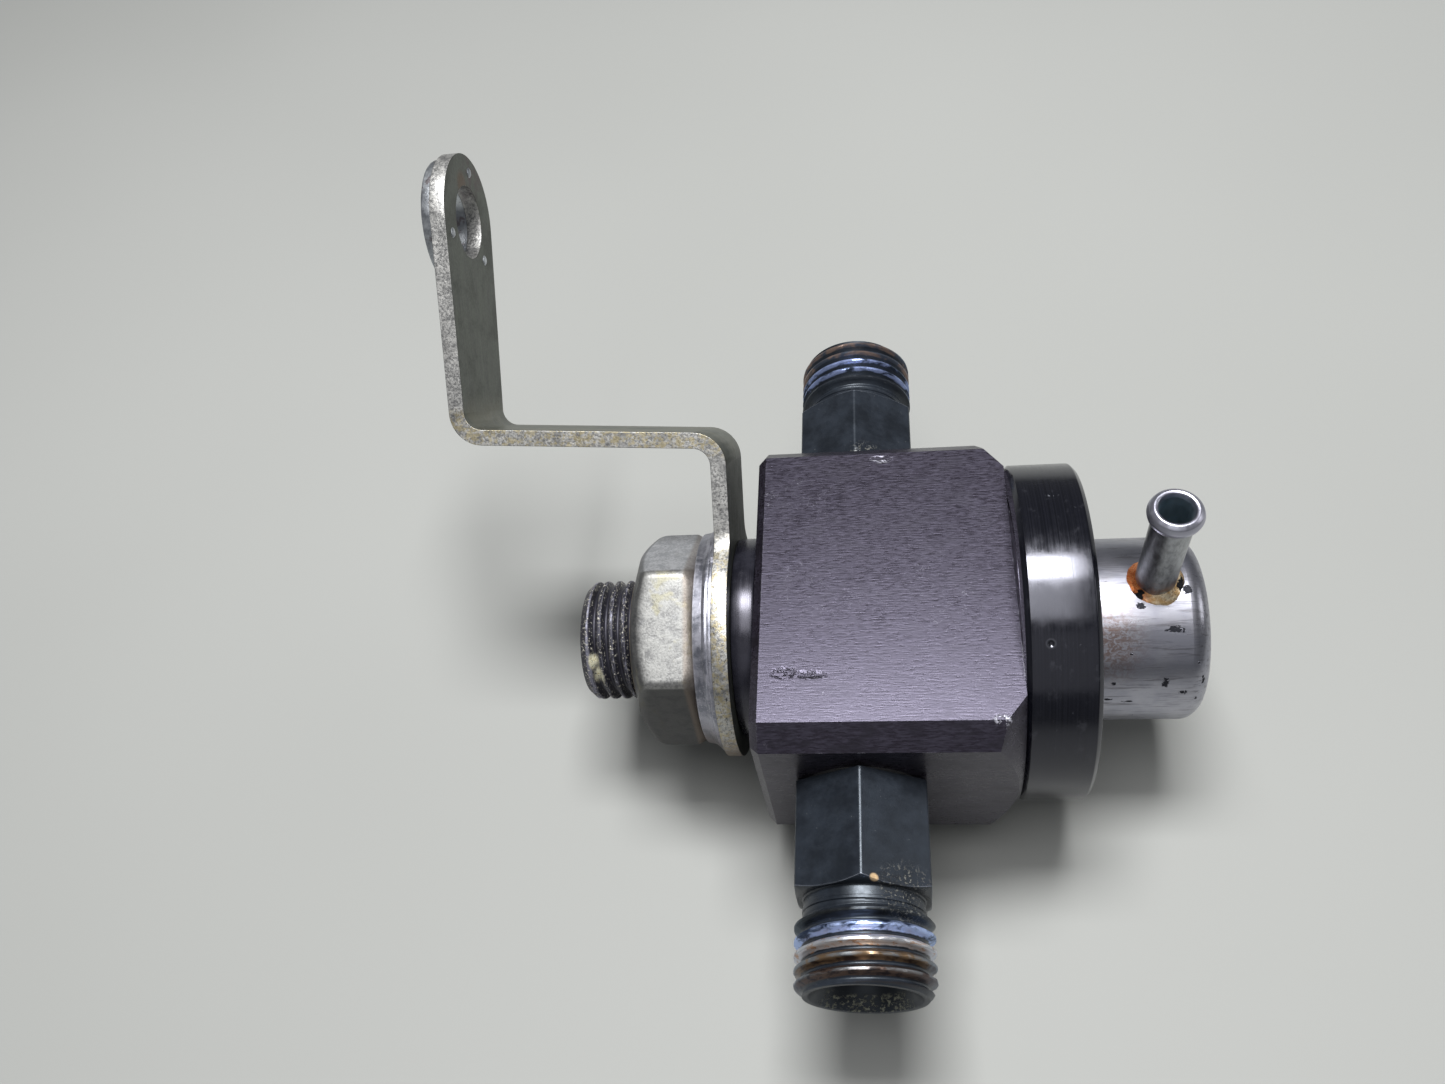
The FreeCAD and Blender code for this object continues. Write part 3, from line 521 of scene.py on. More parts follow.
def housing_material():
    m = Surface("housing", Metallic=1.0, Anisotropic=0.2)
    drawn = m.streaks((0.22, 2.6, 2.6), 5.0, 0.65)
    cloud = m.noise(0.25, 4.0, 0.6)
    ragged = m.streaks((1.7, 2.6, 2.0, 11.0), 5.0, 0.70, 0.9)
    base = m.tones(cloud, 0.35, 0.65, rgb(168, 168, 177), rgb(152, 153, 164))
    base = m.over(base, m.step(drawn, 0.50, 0.66), 0.60, rgb(96, 94, 98))
    bloom = m.product(m.near((26.8, -6.4, 20.6), 0.5, 5.0, (1.0, 0.8, 0.8)), m.step(ragged, 0.40, 0.58))
    base = m.over(base, bloom, 0.70, rgb(112, 82, 64))
    # grime marks: place, reach along X and round the side
    marks = [((32.4, -9.3, 17.0), 1.05, (1.5, 1.0, 0.9)), ((34.3, -9.8, 15.7), 0.75, (0.9, 1.6, 1.4)),
             ((36.3, -9.1, 17.2), 1.1, (2.6, 0.9, 0.9)), ((27.1, -9.3, 17.0), 0.45, (1.0, 1.0, 1.0)),
             ((28.7, -10.1, 14.4), 0.9, (0.8, 2.5, 3.0)), ((26.6, -10.1, 14.8), 0.8, (0.9, 1.5, 2.4)),
             ((28.8, -7.2, 19.8), 0.30, (0.8, 1.0, 1.0)), ((35.8, -10.1, 14.7), 0.5, (1.4, 1.0, 1.0)),
             ((35.7, -8.1, 18.9), 0.4, (1.4, 1.0, 1.0)), ((33.4, -5.3, 21.3), 1.5, (0.8, 1.9, 1.9)),
             ((29.9, -2.9, 22.4), 1.0, (1.0, 1.4, 1.4)), ((35.0, -1.2, 22.7), 1.0, (1.1, 1.0, 1.0)),
             ((29.8, -1.3, 22.7), 0.9, (1.2, 1.0, 1.0))]
    dirt = m.most(*[m.near(place, 0.0, reach * 1.25, squash) for place, reach, squash in marks])
    dirt = m.step(m.number("ADD", m.product(dirt, 0.44), ragged), 0.79, 0.84)
    fine_dots = m.step(m.noise(1.3, 3.0, 0.5), 0.735, 0.76)
    dirt = m.most(dirt, m.product(fine_dots, 0.8))
    base = m.over(base, dirt, 0.92, (0.012, 0.013, 0.018, 1))
    red_edge = m.product(m.near((24.75, -2.0, 22.6), 1.5, 5.5, (3.4, 0.8, 0.8)),
                         m.step(m.streaks((2.0, 0.6, 0.6), 2.0, 0.5), 0.46, 0.54),
                         m.step(m.x, 24.95, 24.72))
    base = m.over(base, red_edge, 0.85, rgb(150, 16, 30))
    m.to("Base Color", base)
    rough = m.step(m.blend(drawn, 0.6, cloud, 0.4), 0.3, 0.7, 0.26, 0.42)
    m.to("Roughness", m.number("ADD", rough, m.product(dirt, 0.3), clamp=True))
    return m.finished((drawn, 0.008), (dirt, 0.02))


def nipple_material():
    m = Surface("nipple", Metallic=1.0)
    streak = m.streaks((2.0, 2.0, 0.9), 5.0, 0.65)
    cloud = m.noise(0.6, 3.0, 0.5)
    top = m.step(m.z, AXIS_Z + 21.6, AXIS_Z + 22.6)
    base = m.tones(streak, 0.35, 0.65, rgb(138, 140, 142), rgb(174, 176, 180))
    foot = m.step(m.z, AXIS_Z + 13.6, AXIS_Z + 11.2)
    base = m.over(base, m.product(foot, m.step(cloud, 0.42, 0.6)), 0.5, rgb(176, 128, 100))
    base = m.mix(top, base, m.mix(cloud, rgb(188, 184, 200), rgb(170, 174, 184)))
    centre = (NIPPLE_X, 0.0, 0.0)
    across = m.vector("MULTIPLY", m.vector("SUBTRACT", m.place, centre), (1, 1, 0))
    # Painted light: the wall of the bore is painted paler and bluer than the tube, as if lit inside.
    inside = m.step(m.vector("LENGTH", across, out=1), 1.78, 1.62)
    base = m.mix(inside, base, m.mix(cloud, rgb(190, 206, 214), rgb(164, 178, 188)))
    m.to("Base Color", base)
    m.to("Roughness", m.step(m.blend(streak, 0.6, cloud, 0.4), 0.3, 0.7, 0.28, 0.46))
    return m.finished((streak, 0.006))


def braze_material():
    m = Surface("braze", Metallic=0.85)
    lumps = m.noise(1.4, 4.0, 0.6)
    fine = m.noise(5.0, 3.0, 0.6)
    left = m.step(m.x, NIPPLE_X - 0.2, NIPPLE_X - 1.9)
    gold = m.tones(lumps, 0.35, 0.65, rgb(240, 222, 190), rgb(204, 168, 120))
    copper = m.tones(fine, 0.35, 0.65, rgb(232, 152, 96), rgb(168, 88, 48))
    base = m.mix(left, gold, copper)
    ragged = m.noise(1.6, 4.0, 0.65, 0.4)
    soot = m.most(m.near((NIPPLE_X - 1.9, -1.9, 22.9), 0.0, 1.7),
                  m.near((NIPPLE_X + 2.6, -0.6, 22.9), 0.0, 2.0))
    soot = m.step(m.number("ADD", m.product(soot, 0.42), ragged), 0.78, 0.84)
    m.to("Base Color", m.mix(soot, base, (0.012, 0.012, 0.014, 1)))
    m.to("Roughness", m.step(fine, 0.3, 0.7, 0.24, 0.48))
    return m.finished((lumps, 0.09), (fine, 0.02))


def union_material(name, worn_side):
    """Black anodised union; worn_side is -1 for the badly worn front one, +1 for the rear one."""
    m = Surface(name, IOR=1.52, Specular_Tint=(0.80, 0.89, 1.0, 1.0))
    along = m.product(m.y, float(worn_side))
    up = m.number("SUBTRACT", m.z, AXIS_Z)
    across = m.product(m.x, float(worn_side))
    r = m.radius("Y")
    turn = m.product(m.number("ARCTAN2", across, up), 1.0 / (2 * pi))
    # counts the turns of the thread, whole at the middle of each crest
    crest_number = m.number("ADD", m.number("SUBTRACT", m.product(along, 1.0 / PITCH), turn),
                            -(THREAD_START / PITCH + UNION_PHASE + 0.12))
    grain = m.streaks((1.6, 1.6, 0.5), 6.0, 0.65)
    cloud = m.noise(0.35, 4.0, 0.6)
    # wear streaks follow the thread round: place round the axis, turn of the thread, depth
    wound = m.join(m.product(turn, 16.0), m.product(crest_number, 1.1), m.product(r, 0.6))
    patch = m.pattern(m.vector("ADD", wound, (worn_side * 3.1, 1.7, 0.0)), 4.0, 0.62, 0.4)
    fine = m.noise(3.0, 4.0, 0.7)
    streaks = m.pattern(m.vector("MULTIPLY", wound, (2.2, 2.6, 2.0)), 4.0, 0.68, 0.4)
    base = m.tones(cloud, 0.3, 0.7, (0.0062, 0.0078, 0.0110, 1), (0.013, 0.0165, 0.023, 1))
    ridge = m.product(m.edges(0.16, 0.02, 0.10), m.step(along, 20.0, 20.4),
                      m.step(along, 31.7, 31.2))
    base = m.over(base, ridge, 0.50, rgb(176, 182, 196))
    dust = m.product(m.step(fine, 0.66, 0.71), m.step(cloud, 0.48, 0.60))
    base = m.over(base, dust, 0.30, rgb(150, 152, 150))
    outside = m.product(m.step(r, 5.95, 6.2), m.step(along, 33.9, 34.4))
    inside = m.step(r, UNION_MOUTH + 0.15, UNION_MOUTH + 0.05)
    number = m.number("ADD", crest_number, m.product(m.number("SUBTRACT", streaks, 0.5), 0.25))
    if worn_side < 0:
        blue = m.tones(patch, 0.38, 0.54, (0.020, 0.030, 0.065, 1), rgb(176, 194, 236))
        silver = m.tones(streaks, 0.52, 0.62, rgb(206, 204, 208), rgb(186, 150, 122))
        beige = m.tones(patch, 0.42, 0.62, rgb(126, 104, 80), rgb(62, 48, 40))
        brown = m.tones(streaks, 0.45, 0.62, rgb(84, 68, 60), rgb(46, 37, 38))
        bands = m.tones(number, 1.40, 1.62, blue, silver)
        bands = m.tones(number, 2.38, 2.55, bands, beige)
        bands = m.tones(number, 3.38, 3.55, bands, brown)
        bands = m.tones(number, 4.30, 4.50, bands, (0.022, 0.021, 0.023, 1))
        bands = m.tones(number, 0.60, 0.42, bands, (0.022, 0.024, 0.026, 1))
        lip = m.product(m.step(r, 6.96, 7.08), m.step(number, 1.6, 1.9), m.step(number, 4.2, 3.9),
                        m.step(patch, 0.40, 0.54))
        bands = m.over(bands, lip, 0.50, rgb(150, 158, 164))
        wear = m.product(outside, m.step(m.number("ADD", r, m.product(streaks, 0.5)), 6.58, 6.78))
        shine = m.step(number, 4.2, 4.6, 0.8, 0.3)
        chip = m.product(m.near((1.3, -31.3, 20.0), 0.30, 0.55, (1.0, 1.0, 0.6)),
                         m.step(fine, 0.30, 0.42))
        chip_tone = rgb(236, 202, 158)
        soot = m.product(m.near((2.6, -31.2, 19.0), 0.5, 1.9, (0.7, 1.3, 0.5)),
                         m.step(streaks, 0.46, 0.54))
        speckle = m.product(m.near((4.4, -32.2, 18.0), 0.6, 3.4, (0.8, 0.9, 0.5)),
                            m.step(m.noise(3.4, 4.0, 0.7), 0.55, 0.62))
        debris = m.product(inside, m.step(along, 39.3, 39.9), m.step(up, -2.2, -4.2),
                           m.step(m.streaks((1.9, 2.6, 1.9, 6.0), 4.0, 0.75), 0.52, 0.57))
    else:
        blue = m.tones(patch, 0.40, 0.56, (0.018, 0.025, 0.042, 1), rgb(140, 154, 196))
        tint = m.tones(patch, 0.42, 0.58, rgb(70, 76, 88), rgb(126, 108, 100))
        bands = m.tones(number, 2.40, 2.60, blue, tint)
        bands = m.tones(number, 0.60, 0.42, bands, (0.026, 0.029, 0.036, 1))
        wear = m.product(outside, m.step(m.number("ADD", r, m.product(patch, 0.5)), 6.98, 7.22))
        shine = 0.75
        chip = m.product(m.near((0.3, 20.3, AXIS_Z + 7.9), 0.3, 0.9, (1.3, 0.5, 1.0)),
                         m.step(fine, 0.48, 0.54))
        chip_tone = rgb(226, 230, 234)
        soot = m.product(m.near((1.2, 20.6, AXIS_Z + 7.2), 0.4, 1.5, (0.9, 0.8, 0.6)),
                         m.step(streaks, 0.48, 0.56))
        speckle = m.product(m.near((1.6, 20.6, AXIS_Z + 7.0), 0.6, 2.4, (0.8, 0.8, 0.6)),
                            m.step(m.noise(2.6, 4.0, 0.7), 0.53, 0.59))
        debris = m.product(inside, m.step(along, 36.5, 38.5),
                           m.step(m.noise(2.2, 4.0, 0.75), 0.62, 0.66))
    base = m.mix(wear, base, bands)
    # Painted shade: the bore deeper in than the mouth is painted near black.
    deep_bore_shade = m.product(inside, m.step(along, 41.0, 39.6))
    base = m.over(base, deep_bore_shade, 0.8, (0.002, 0.002, 0.003, 1))
    base = m.over(base, speckle, 0.50, rgb(168, 166, 156))
    base = m.over(base, soot, 0.8, (0.006, 0.006, 0.007, 1))
    base = m.mix(chip, base, chip_tone)
    base = m.over(base, debris, 0.8, rgb(132, 132, 116))
    m.to("Base Color", base)
    m.to("Metallic", m.most(m.product(wear, shine), m.product(chip, 0.8), m.product(ridge, 0.6)))
    rough = m.step(m.blend(grain, 0.6, cloud, 0.4), 0.3, 0.7, 0.30, 0.46)
    m.to("Roughness", rough)
    return m.finished((grain, 0.006), (m.product(fine, m.step(wear, 0.0, 1.0, 0.4, 1.0)), 0.016),
                      (m.most(speckle, debris), 0.06))


def stub_material():
    m = Surface("stub", IOR=1.55, Specular_Tint=(0.88, 0.86, 1.0, 1.0))
    r = m.radius("X")
    rings = m.turning_marks(7.0)
    cloud = m.noise(0.4, 4.0, 0.6)
    fine = m.noise(3.4, 3.0, 0.7)
    base = m.tones(cloud, 0.3, 0.7, (0.006, 0.006, 0.009, 1), (0.015, 0.015, 0.021, 1))
    thread = m.step(m.x, -14.6, -15.0)
    flecks = m.product(thread, m.step(fine, 0.57, 0.63), m.step(r, 6.3, 6.7))
    lips = m.product(thread, m.step(r, 6.95, 7.06), m.step(r, 7.095, 7.085),
                     m.step(m.noise(0.7, 4.0, 0.65), 0.38, 0.56))
    base = m.over(base, lips, 0.75, rgb(140, 140, 154))
    base = m.over(base, flecks, 0.80, rgb(206, 202, 188))
    chip = m.most(m.near((-30.6, -5.5, 17.0), 0.40, 0.95, (1.2, 0.7, 0.7)),
                  m.near((-30.2, -6.6, 15.2), 0.40, 1.15, (1.5, 0.6, 0.6)))
    chip = m.product(chip, m.step(fine, 0.36, 0.46))
    base = m.mix(chip, base, m.tones(fine, 0.48, 0.62, rgb(230, 228, 204), rgb(176, 166, 128)))
    m.to("Base Color", base)
    gloss = m.step(m.blend(rings, 0.5, cloud, 0.5), 0.3, 0.7, 0.20, 0.34)
    m.to("Roughness", m.number("ADD", gloss, m.product(thread, 0.22)))
    m.to("Metallic", m.product(lips, 0.6))
    return m.finished((rings, 0.002), (m.product(thread, fine), 0.02), (m.most(flecks, chip), 0.04))


def nut_material():
    m = Surface("nut")
    cloud = m.noise(0.30, 4.0, 0.6, 0.4)
    soft = m.noise(0.75, 5.0, 0.6, 0.3)
    fine = m.noise(4.0, 3.0, 0.65)
    tone = m.blend(soft, 0.5, fine, 0.5)
    base = m.tones(tone, 0.36, 0.60, rgb(112, 112, 112), rgb(150, 150, 148))
    base = m.over(base, m.step(cloud, 0.54, 0.66), 0.45, rgb(146, 141, 110))
    base = m.over(base, m.step(cloud, 0.40, 0.28), 0.6, rgb(92, 94, 100))
    # painted light: the flats that face the back are painted paler, as if lit from above
    away = m.step(m.part(m.normal, 1), 0.25, 0.60)
    painted_light_tone = m.tones(tone, 0.4, 0.6, rgb(168, 170, 176), rgb(214, 215, 220))
    base = m.over(base, away, 0.8, painted_light_tone)
    # painted shade: darker on the sides that face down and near the borders of the flats; the cone is painted
    # darker too
    up = m.part(m.normal, 2)
    cone = m.step(m.part(m.normal, 0), -0.25, -0.45)
    shade_and_dark_cone = m.most(m.product(cone, 0.60), m.step(up, 0.42, 0.05, 0.0, 0.92))
    shade_and_dark_cone = m.product(shade_and_dark_cone, m.step(soft, 0.25, 0.60, 1.0, 0.92))
    base = m.mix(shade_and_dark_cone, base, rgb(46, 46, 48))
    base = m.over(base, m.step(m.x, -19.45, -18.95), 0.45, rgb(120, 104, 90))
    worn = m.product(m.edges(0.30, 0.02, 0.2), m.step(fine, 0.42, 0.58))
    base = m.over(base, worn, 0.40, rgb(180, 177, 172))
    lip = m.product(m.step(m.x, -25.5, -25.85), m.step(m.radius("X"), 8.6, 8.1), m.step(fine, 0.44, 0.56))
    base = m.over(base, lip, 0.8, rgb(186, 170, 136))
    specks = m.step(m.noise(2.4, 3.0, 0.6), 0.69, 0.73)
    base = m.over(base, specks, 0.6, rgb(48, 46, 42))
    m.to("Base Color", base)
    m.to("Metallic", m.step(tone, 0.3, 0.7, 0.75, 0.92))
    m.to("Roughness", m.step(tone, 0.3, 0.7, 0.38, 0.56))
    return m.finished((soft, 0.04), (fine, 0.018))


def washer_material():
    m = Surface("washer", Metallic=0.9)
    cloud = m.noise(0.5, 4.0, 0.65, 0.4)
    fine = m.noise(3.0, 4.0, 0.7)
    rings = m.turning_marks(5.0)
    worn = m.product(m.edges(0.22, 0.02, 0.16), m.step(m.noise(1.2, 4.0, 0.7), 0.40, 0.58))
    base = m.tones(cloud, 0.38, 0.62, rgb(124, 126, 136), rgb(166, 166, 176))
    base = m.over(base, m.step(fine, 0.56, 0.66), 0.5, rgb(196, 196, 206))
    base = m.over(base, worn, 0.8, rgb(232, 232, 240))
    low = m.product(m.step(m.z, AXIS_Z + 4.0, AXIS_Z - 2.0), 0.75)
    base = m.mix(low, base, m.tones(cloud, 0.4, 0.6, rgb(62, 54, 54), rgb(88, 76, 70)))
    m.to("Base Color", base)
    m.to("Roughness", m.step(m.blend(rings, 0.3, cloud, 0.7), 0.3, 0.7, 0.30, 0.48))
    return m.finished((rings, 0.003), (cloud, 0.03), (fine, 0.012))


def bracket_material():
    m = Surface("bracket")
    from_axis = m.vector("SUBTRACT", m.place, (0, 0, AXIS_Z))
    up = m.vector("DOT_PRODUCT", from_axis, tuple(BRACKET_UP), out=1)
    across = m.vector("DOT_PRODUCT", from_axis, tuple(BRACKET_ACROSS), out=1)
    cloud = m.noise(0.16, 4.0, 0.6, 0.3)
    mottle = m.noise(0.9, 5.0, 0.62)
    fine = m.noise(3.6, 4.0, 0.7)
    rolled = m.pattern(m.join(m.product(m.x, 0.9), m.product(across, 1.6), m.product(up, 0.18)), 4.0, 0.6)
    facing_across = m.number("ABSOLUTE", m.vector("DOT_PRODUCT", m.normal, tuple(BRACKET_ACROSS), out=1))
    facing_x = m.number("ABSOLUTE", m.part(m.normal, 0))
    strip_side = m.step(facing_across, 0.55, 0.8)
    ring_rim = m.product(m.step(up, 19.0, 16.0), m.step(facing_x, 0.6, 0.3))
    tip_rim = m.product(m.step(up, 44.0, 46.0), m.step(facing_x, 0.6, 0.3))
    rim = m.most(strip_side, ring_rim, tip_rim)
    face = m.tones(rolled, 0.3, 0.7, rgb(80, 83, 78), rgb(104, 108, 101))
    face = m.over(face, m.step(cloud, 0.45, 0.62), 0.6, rgb(64, 67, 61))
    bend = m.product(m.step(up, 31.0, 27.5), m.step(up, 20.0, 23.0))
    face = m.over(face, m.product(bend, m.step(cloud, 0.3, 0.6)), 0.45, rgb(146, 144, 130))
    sheared = m.tones(fine, 0.38, 0.60, rgb(128, 128, 128), rgb(192, 191, 188))
    sheared = m.over(sheared, m.step(mottle, 0.50, 0.66), 0.45, rgb(100, 100, 102))
    gold_zone = m.most(m.step(up, 15.0, 9.0), m.product(m.step(up, 21.5, 23.0), m.step(up, 29.5, 27.5)))
    gold = m.product(m.step(m.noise(1.5, 4.0, 0.75), 0.46, 0.58), gold_zone)
    sheared = m.over(sheared, gold, 0.60, rgb(180, 166, 124))
    black = m.product(m.step(m.noise(2.4, 3.0, 0.6), 0.64, 0.68), m.step(up, 24.0, 18.0))
    sheared = m.over(sheared, black, 0.8, rgb(44, 40, 40))
    base = m.mix(rim, face, sheared)
    low = m.product(ring_rim, m.step(m.z, AXIS_Z + 4.0, AXIS_Z - 4.0), 0.75)
    base = m.mix(low, base, m.tones(mottle, 0.4, 0.6, rgb(84, 62, 56), rgb(120, 104, 84)))
    heat = m.product(m.near(tuple(bracket_point(-45.2, 2.5, 57.0)), 1.5, 4.5), m.step(mottle, 0.4, 0.6))
    base = m.over(base, heat, 0.55, rgb(98, 74, 82))
    hole_tint = m.product(m.near(tuple(bracket_point(-43.7, -1.5, 54.6)), 0.8, 1.9), facing_x)
    base = m.over(base, hole_tint, 0.55, rgb(104, 76, 54))
    m.to("Base Color", base)
    m.to("Metallic", m.step(mottle, 0.3, 0.7, 0.80, 0.96))
    m.to("Roughness", m.step(m.blend(fine, 0.5, rolled, 0.5), 0.3, 0.7, 0.36, 0.54))
    return m.finished((rolled, 0.008), (m.product(rim, m.blend(mottle, 0.6, fine, 0.4)), 0.05),
                      (fine, 0.006))


def disc_material():
    m = Surface("disc", Metallic=0.95)
    cloud = m.noise(0.45, 4.0, 0.65)
    fine = m.noise(3.0, 4.0, 0.7)
    base = m.tones(cloud, 0.35, 0.65, rgb(150, 154, 160), rgb(200, 204, 208))
    stain = m.step(m.noise(0.7, 3.0, 0.6, 0.4), 0.58, 0.66)
    base = m.over(base, stain, 0.6, rgb(104, 84, 84))
    m.to("Base Color", base)
    m.to("Roughness", m.step(m.blend(cloud, 0.5, fine, 0.5), 0.3, 0.7, 0.28, 0.46))
    return m.finished((fine, 0.02))


def plain_material(name, dark, light, rough, metallic, grain_scale=1.5, relief=0.006):
    """Inside pieces: two close tones in a fine grain, with matching relief."""
    m = Surface(name, Metallic=metallic)
    grain = m.noise(grain_scale, 5.0, 0.65)
    cloud = m.noise(0.3, 3.0, 0.5)
    tone = m.blend(grain, 0.6, cloud, 0.4)
    m.to("Base Color", m.tones(tone, 0.35, 0.65, dark, light))
    m.to("Roughness", m.step(grain, 0.3, 0.7, rough * 0.85, rough * 1.2))
    return m.finished((grain, relief))


def floor_material():
    m = Surface("floor", Roughness=0.75)
    cloud = m.noise(0.006, 2.0, 0.5)
    m.to("Base Color", m.tones(cloud, 0.3, 0.7, (0.285, 0.290, 0.279, 1), (0.305, 0.310, 0.299, 1)))
    return m.finished()


# ---------- pieces on the regulator body
def add_ring(material):
    left, right = ends("clamp_ring")
    radius, edge, inner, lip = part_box("clamp_ring")[1].y / MM, 0.5, 16.05, 11.2
    rows = rounded([(left, inner), (left, radius - edge, 0.06), (left + edge, radius, 0.14),
                    (right - edge, radius, 0.2), (right, radius - edge, 0.2), (right, lip, 0.35),
                    (22.7, lip), (22.7, inner)])
    ring = turned("clamp_ring_finished", rows, around(256), main_axis)
    finish_piece(ring, "regulator", material, ["clamp_ring"])


def add_nipple(material):
    """Tube with its rolled bead: a full round bead whose lip turns into the bore."""
    tube, bore = TUBE_RADIUS, 1.6
    rows = rounded([
        (9.1, bore), (9.1, tube), (21.65, tube, 0.35), (22.15, 2.66, 0.30), (22.70, 2.80, 0.45),
        (23.30, 2.58, 0.45), (23.65, 2.15, 0.25), (23.55, 1.84, 0.20), (23.0, 1.68, 0.3),
        (22.0, bore, 0.3)], steps=5)
    place = lambda a, u, v: (NIPPLE_X + v, -u, AXIS_Z + a)
    nipple = turned("vacuum_nipple_finished", rows, around(96), place, smooth_angle=60.0)
    finish_piece(nipple, "regulator", material, ["vacuum_nipple"])


def add_braze(material):
    """Uneven fillet of braze that follows the round housing about the nipple's foot."""
    can, tube, inner = CAN_RADIUS, TUBE_RADIUS, 1.75
    angles = around(96)
    profile = [(0.0, 1.00), (0.10, 1.02), (0.26, 0.74), (0.48, 0.42), (0.74, 0.16), (0.92, 0.0)]
    verts, faces = [], []
    for height, spread in profile:
        for t in angles:
            swell = wobble(t, 1.3, 2.0)
            ripple = wobble(t, 4.0, height * 2)
            reach = tube - 0.05 + spread * (0.88 + 0.22 * swell + 0.12 * ripple)
            dx, dy = reach * sin(t), -reach * cos(t)
            floor = sqrt(can ** 2 - dy ** 2)
            rise = height * (0.85 + 0.30 * swell + 0.08 * ripple)
            verts.append((NIPPLE_X + dx, dy, AXIS_Z + floor - 0.10 + rise))
    count = len(angles)
    for t in angles:
        verts.append((NIPPLE_X + inner * sin(t), -inner * cos(t), AXIS_Z + can + 0.3))
    for t in angles:
        dy = -inner * cos(t)
        verts.append((NIPPLE_X + inner * sin(t), dy, AXIS_Z + sqrt(can ** 2 - dy ** 2) - 0.3))
    rows = len(profile) + 2
    for i in range(rows):
        j = (i + 1) % rows
        for k in range(count):
            m = (k + 1) % count
            faces.append((i * count + k, i * count + m, j * count + m, j * count + k))
    braze = make_object("nipple_braze_finished", verts, faces, 60.0)
    finish_piece(braze, "regulator", material, ["nipple_braze"])


def add_union(name, side, material, nicks):
    spigot, hex_start, hex_end = 11.5, 19.85, 31.6
    neck, neck_end, thread_end = 6.25, 33.1, 41.1
    root, crest, bore, mouth = 6.28, 7.145, 3.6, UNION_MOUTH
    corners = hexagon(13.8, 7.90)
    chamfer_slope = 0.50

    def end_position(t):
        """The hexagon's outer end is turned conical, so its corners stop earlier than its flats."""
        return hex_end - chamfer_slope * max(0.0, corners(t) - 7.0)

    def limit(a):
        run_in = 6.3 + max(0.0, a - neck_end - 0.35) * 1.9
        end = crest - max(0.0, a - (thread_end - 0.85)) * 1.0
        return min(run_in, end)

    soft = 0.05
    rows = [(spigot, bore), (spigot, 5.4), (spigot + 0.6, 5.98), (hex_start, 5.98),
            (hex_start, lambda t: corners(t) - soft), (hex_start + soft, corners),
            (lambda t: end_position(t) - soft, corners),
            (end_position, lambda t: corners(t) - soft),
            (hex_end, lambda t: min(corners(t) - soft, 6.85)), (hex_end, neck + 0.12),
            (hex_end + 0.12, neck), (neck_end - 0.5, neck), (neck_end - 0.42, neck + 0.12),
            (neck_end - 0.15, neck + 0.12), (neck_end - 0.07, neck)]
    first = len(rows)
    rows += helix_rows(THREAD_START, thread_end, root - 0.03, crest, limit, UNION_PHASE, nicks, side * 3.0)
    last = len(rows) - 1
    rows += [(thread_end, mouth + 0.12), (thread_end - 0.1, mouth), (thread_end - 4.0, bore)]
    union = turned(name + "_finished", rows, hexagon_angles(2.0), port_axis(side), (first, last), 40.0)
    finish_piece(union, "regulator", material, [name])


def add_stub(material):
    end, thread_stop, collar_left, collar_right = -32.2, -15.4, -13.85, -11.22
    crest, root, bore, mouth, collar = 7.1, 6.25, 3.0, 5.9, 11.7
    lead = end + 1.25

    def limit(a):
        return crest - max(0.0, (end + 0.8) - a) * 0.95

    rows = [(-9.5, bore), (end + 4.0, bore), (end + 0.08, mouth), (end, mouth + 0.08), (end, limit(end)),
            (end + 0.8, crest - 0.06), (lead - 0.25, crest - 0.06)]
    first = len(rows)
    rows += helix_rows(lead, thread_stop, root, crest, limit, 0.62, 0.05, 9.0)
    last = len(rows) - 1
    rows += [(thread_stop, root), (collar_left, root), (collar_left, collar - 0.3),
             (collar_left + 0.09, collar - 0.09), (collar_left + 0.3, collar),
             (collar_right - 0.3, collar), (collar_right - 0.09, collar - 0.09),
             (collar_right, collar - 0.3), (collar_right, 9.25), (-12.17, 9.25), (-12.17, 7.95),
             (collar_right, 7.95), (collar_right, 6.38), (-6.4, 6.38), (-6.0, 6.0), (-6.0, 3.5), (-9.5, 3.5)]
    stub = turned("return_stub_finished", rows, around(180), main_axis, (first, last), 40.0)
    finish_piece(stub, "regulator", material, ["return_stub"])


# ---------- pieces that move
def add_nut(material):
    """Hexagon nut with a turned cone on its outer end and soft, worn borders to its flats."""
    left, right = ends("stub_nut")
    bore = 7.16
    turn = -radians(6.4)
    across_flats, cap, opening = 22.2, 12.62, 8.0
    flats = hexagon(across_flats, cap, turn)
    cone_end = -23.2
    cone_slope = (cone_end - left) / (across_flats / sqrt(3) - opening)
    bevel_start = right - 0.7

    def cone_meets(t):
        return left + (flats(t) - opening) * cone_slope

    # the border between cone and flats is a short curve: share of its length and drop below the flats
    border = [(-1.00, 0.46), (-0.62, 0.25), (-0.30, 0.12), (0.05, 0.045), (0.45, 0.01), (0.90, 0.0)]
    rows = [(right, bore), (left + 0.5, bore), (left, bore + 0.5), (left, opening - 0.12),
            (left + 0.10, opening + 0.10)]
    for share, drop in border:
        rows.append((lambda t, share=share: cone_meets(t) + share * 0.9,
                     lambda t, drop=drop: flats(t) - drop))
    rows += [(lambda t: bevel_start - max(0.0, flats(t) - 12.0) * 0.6 - 0.25, flats),
             (lambda t: bevel_start - max(0.0, flats(t) - 12.0) * 0.6, lambda t: flats(t) - 0.05),
             (right - 0.1, lambda t: min(flats(t) - 0.35, 11.95)),
             (right, lambda t: min(flats(t) - 0.5, 11.8))]
    nut = turned("stub_nut_finished", rows, hexagon_angles(2.0, turn, (0.0, 1.0, 2.0, 3.0)), main_axis,
                 smooth_angle=38.0)
    finish_piece(nut, "nut", material, ["stub_nut"])


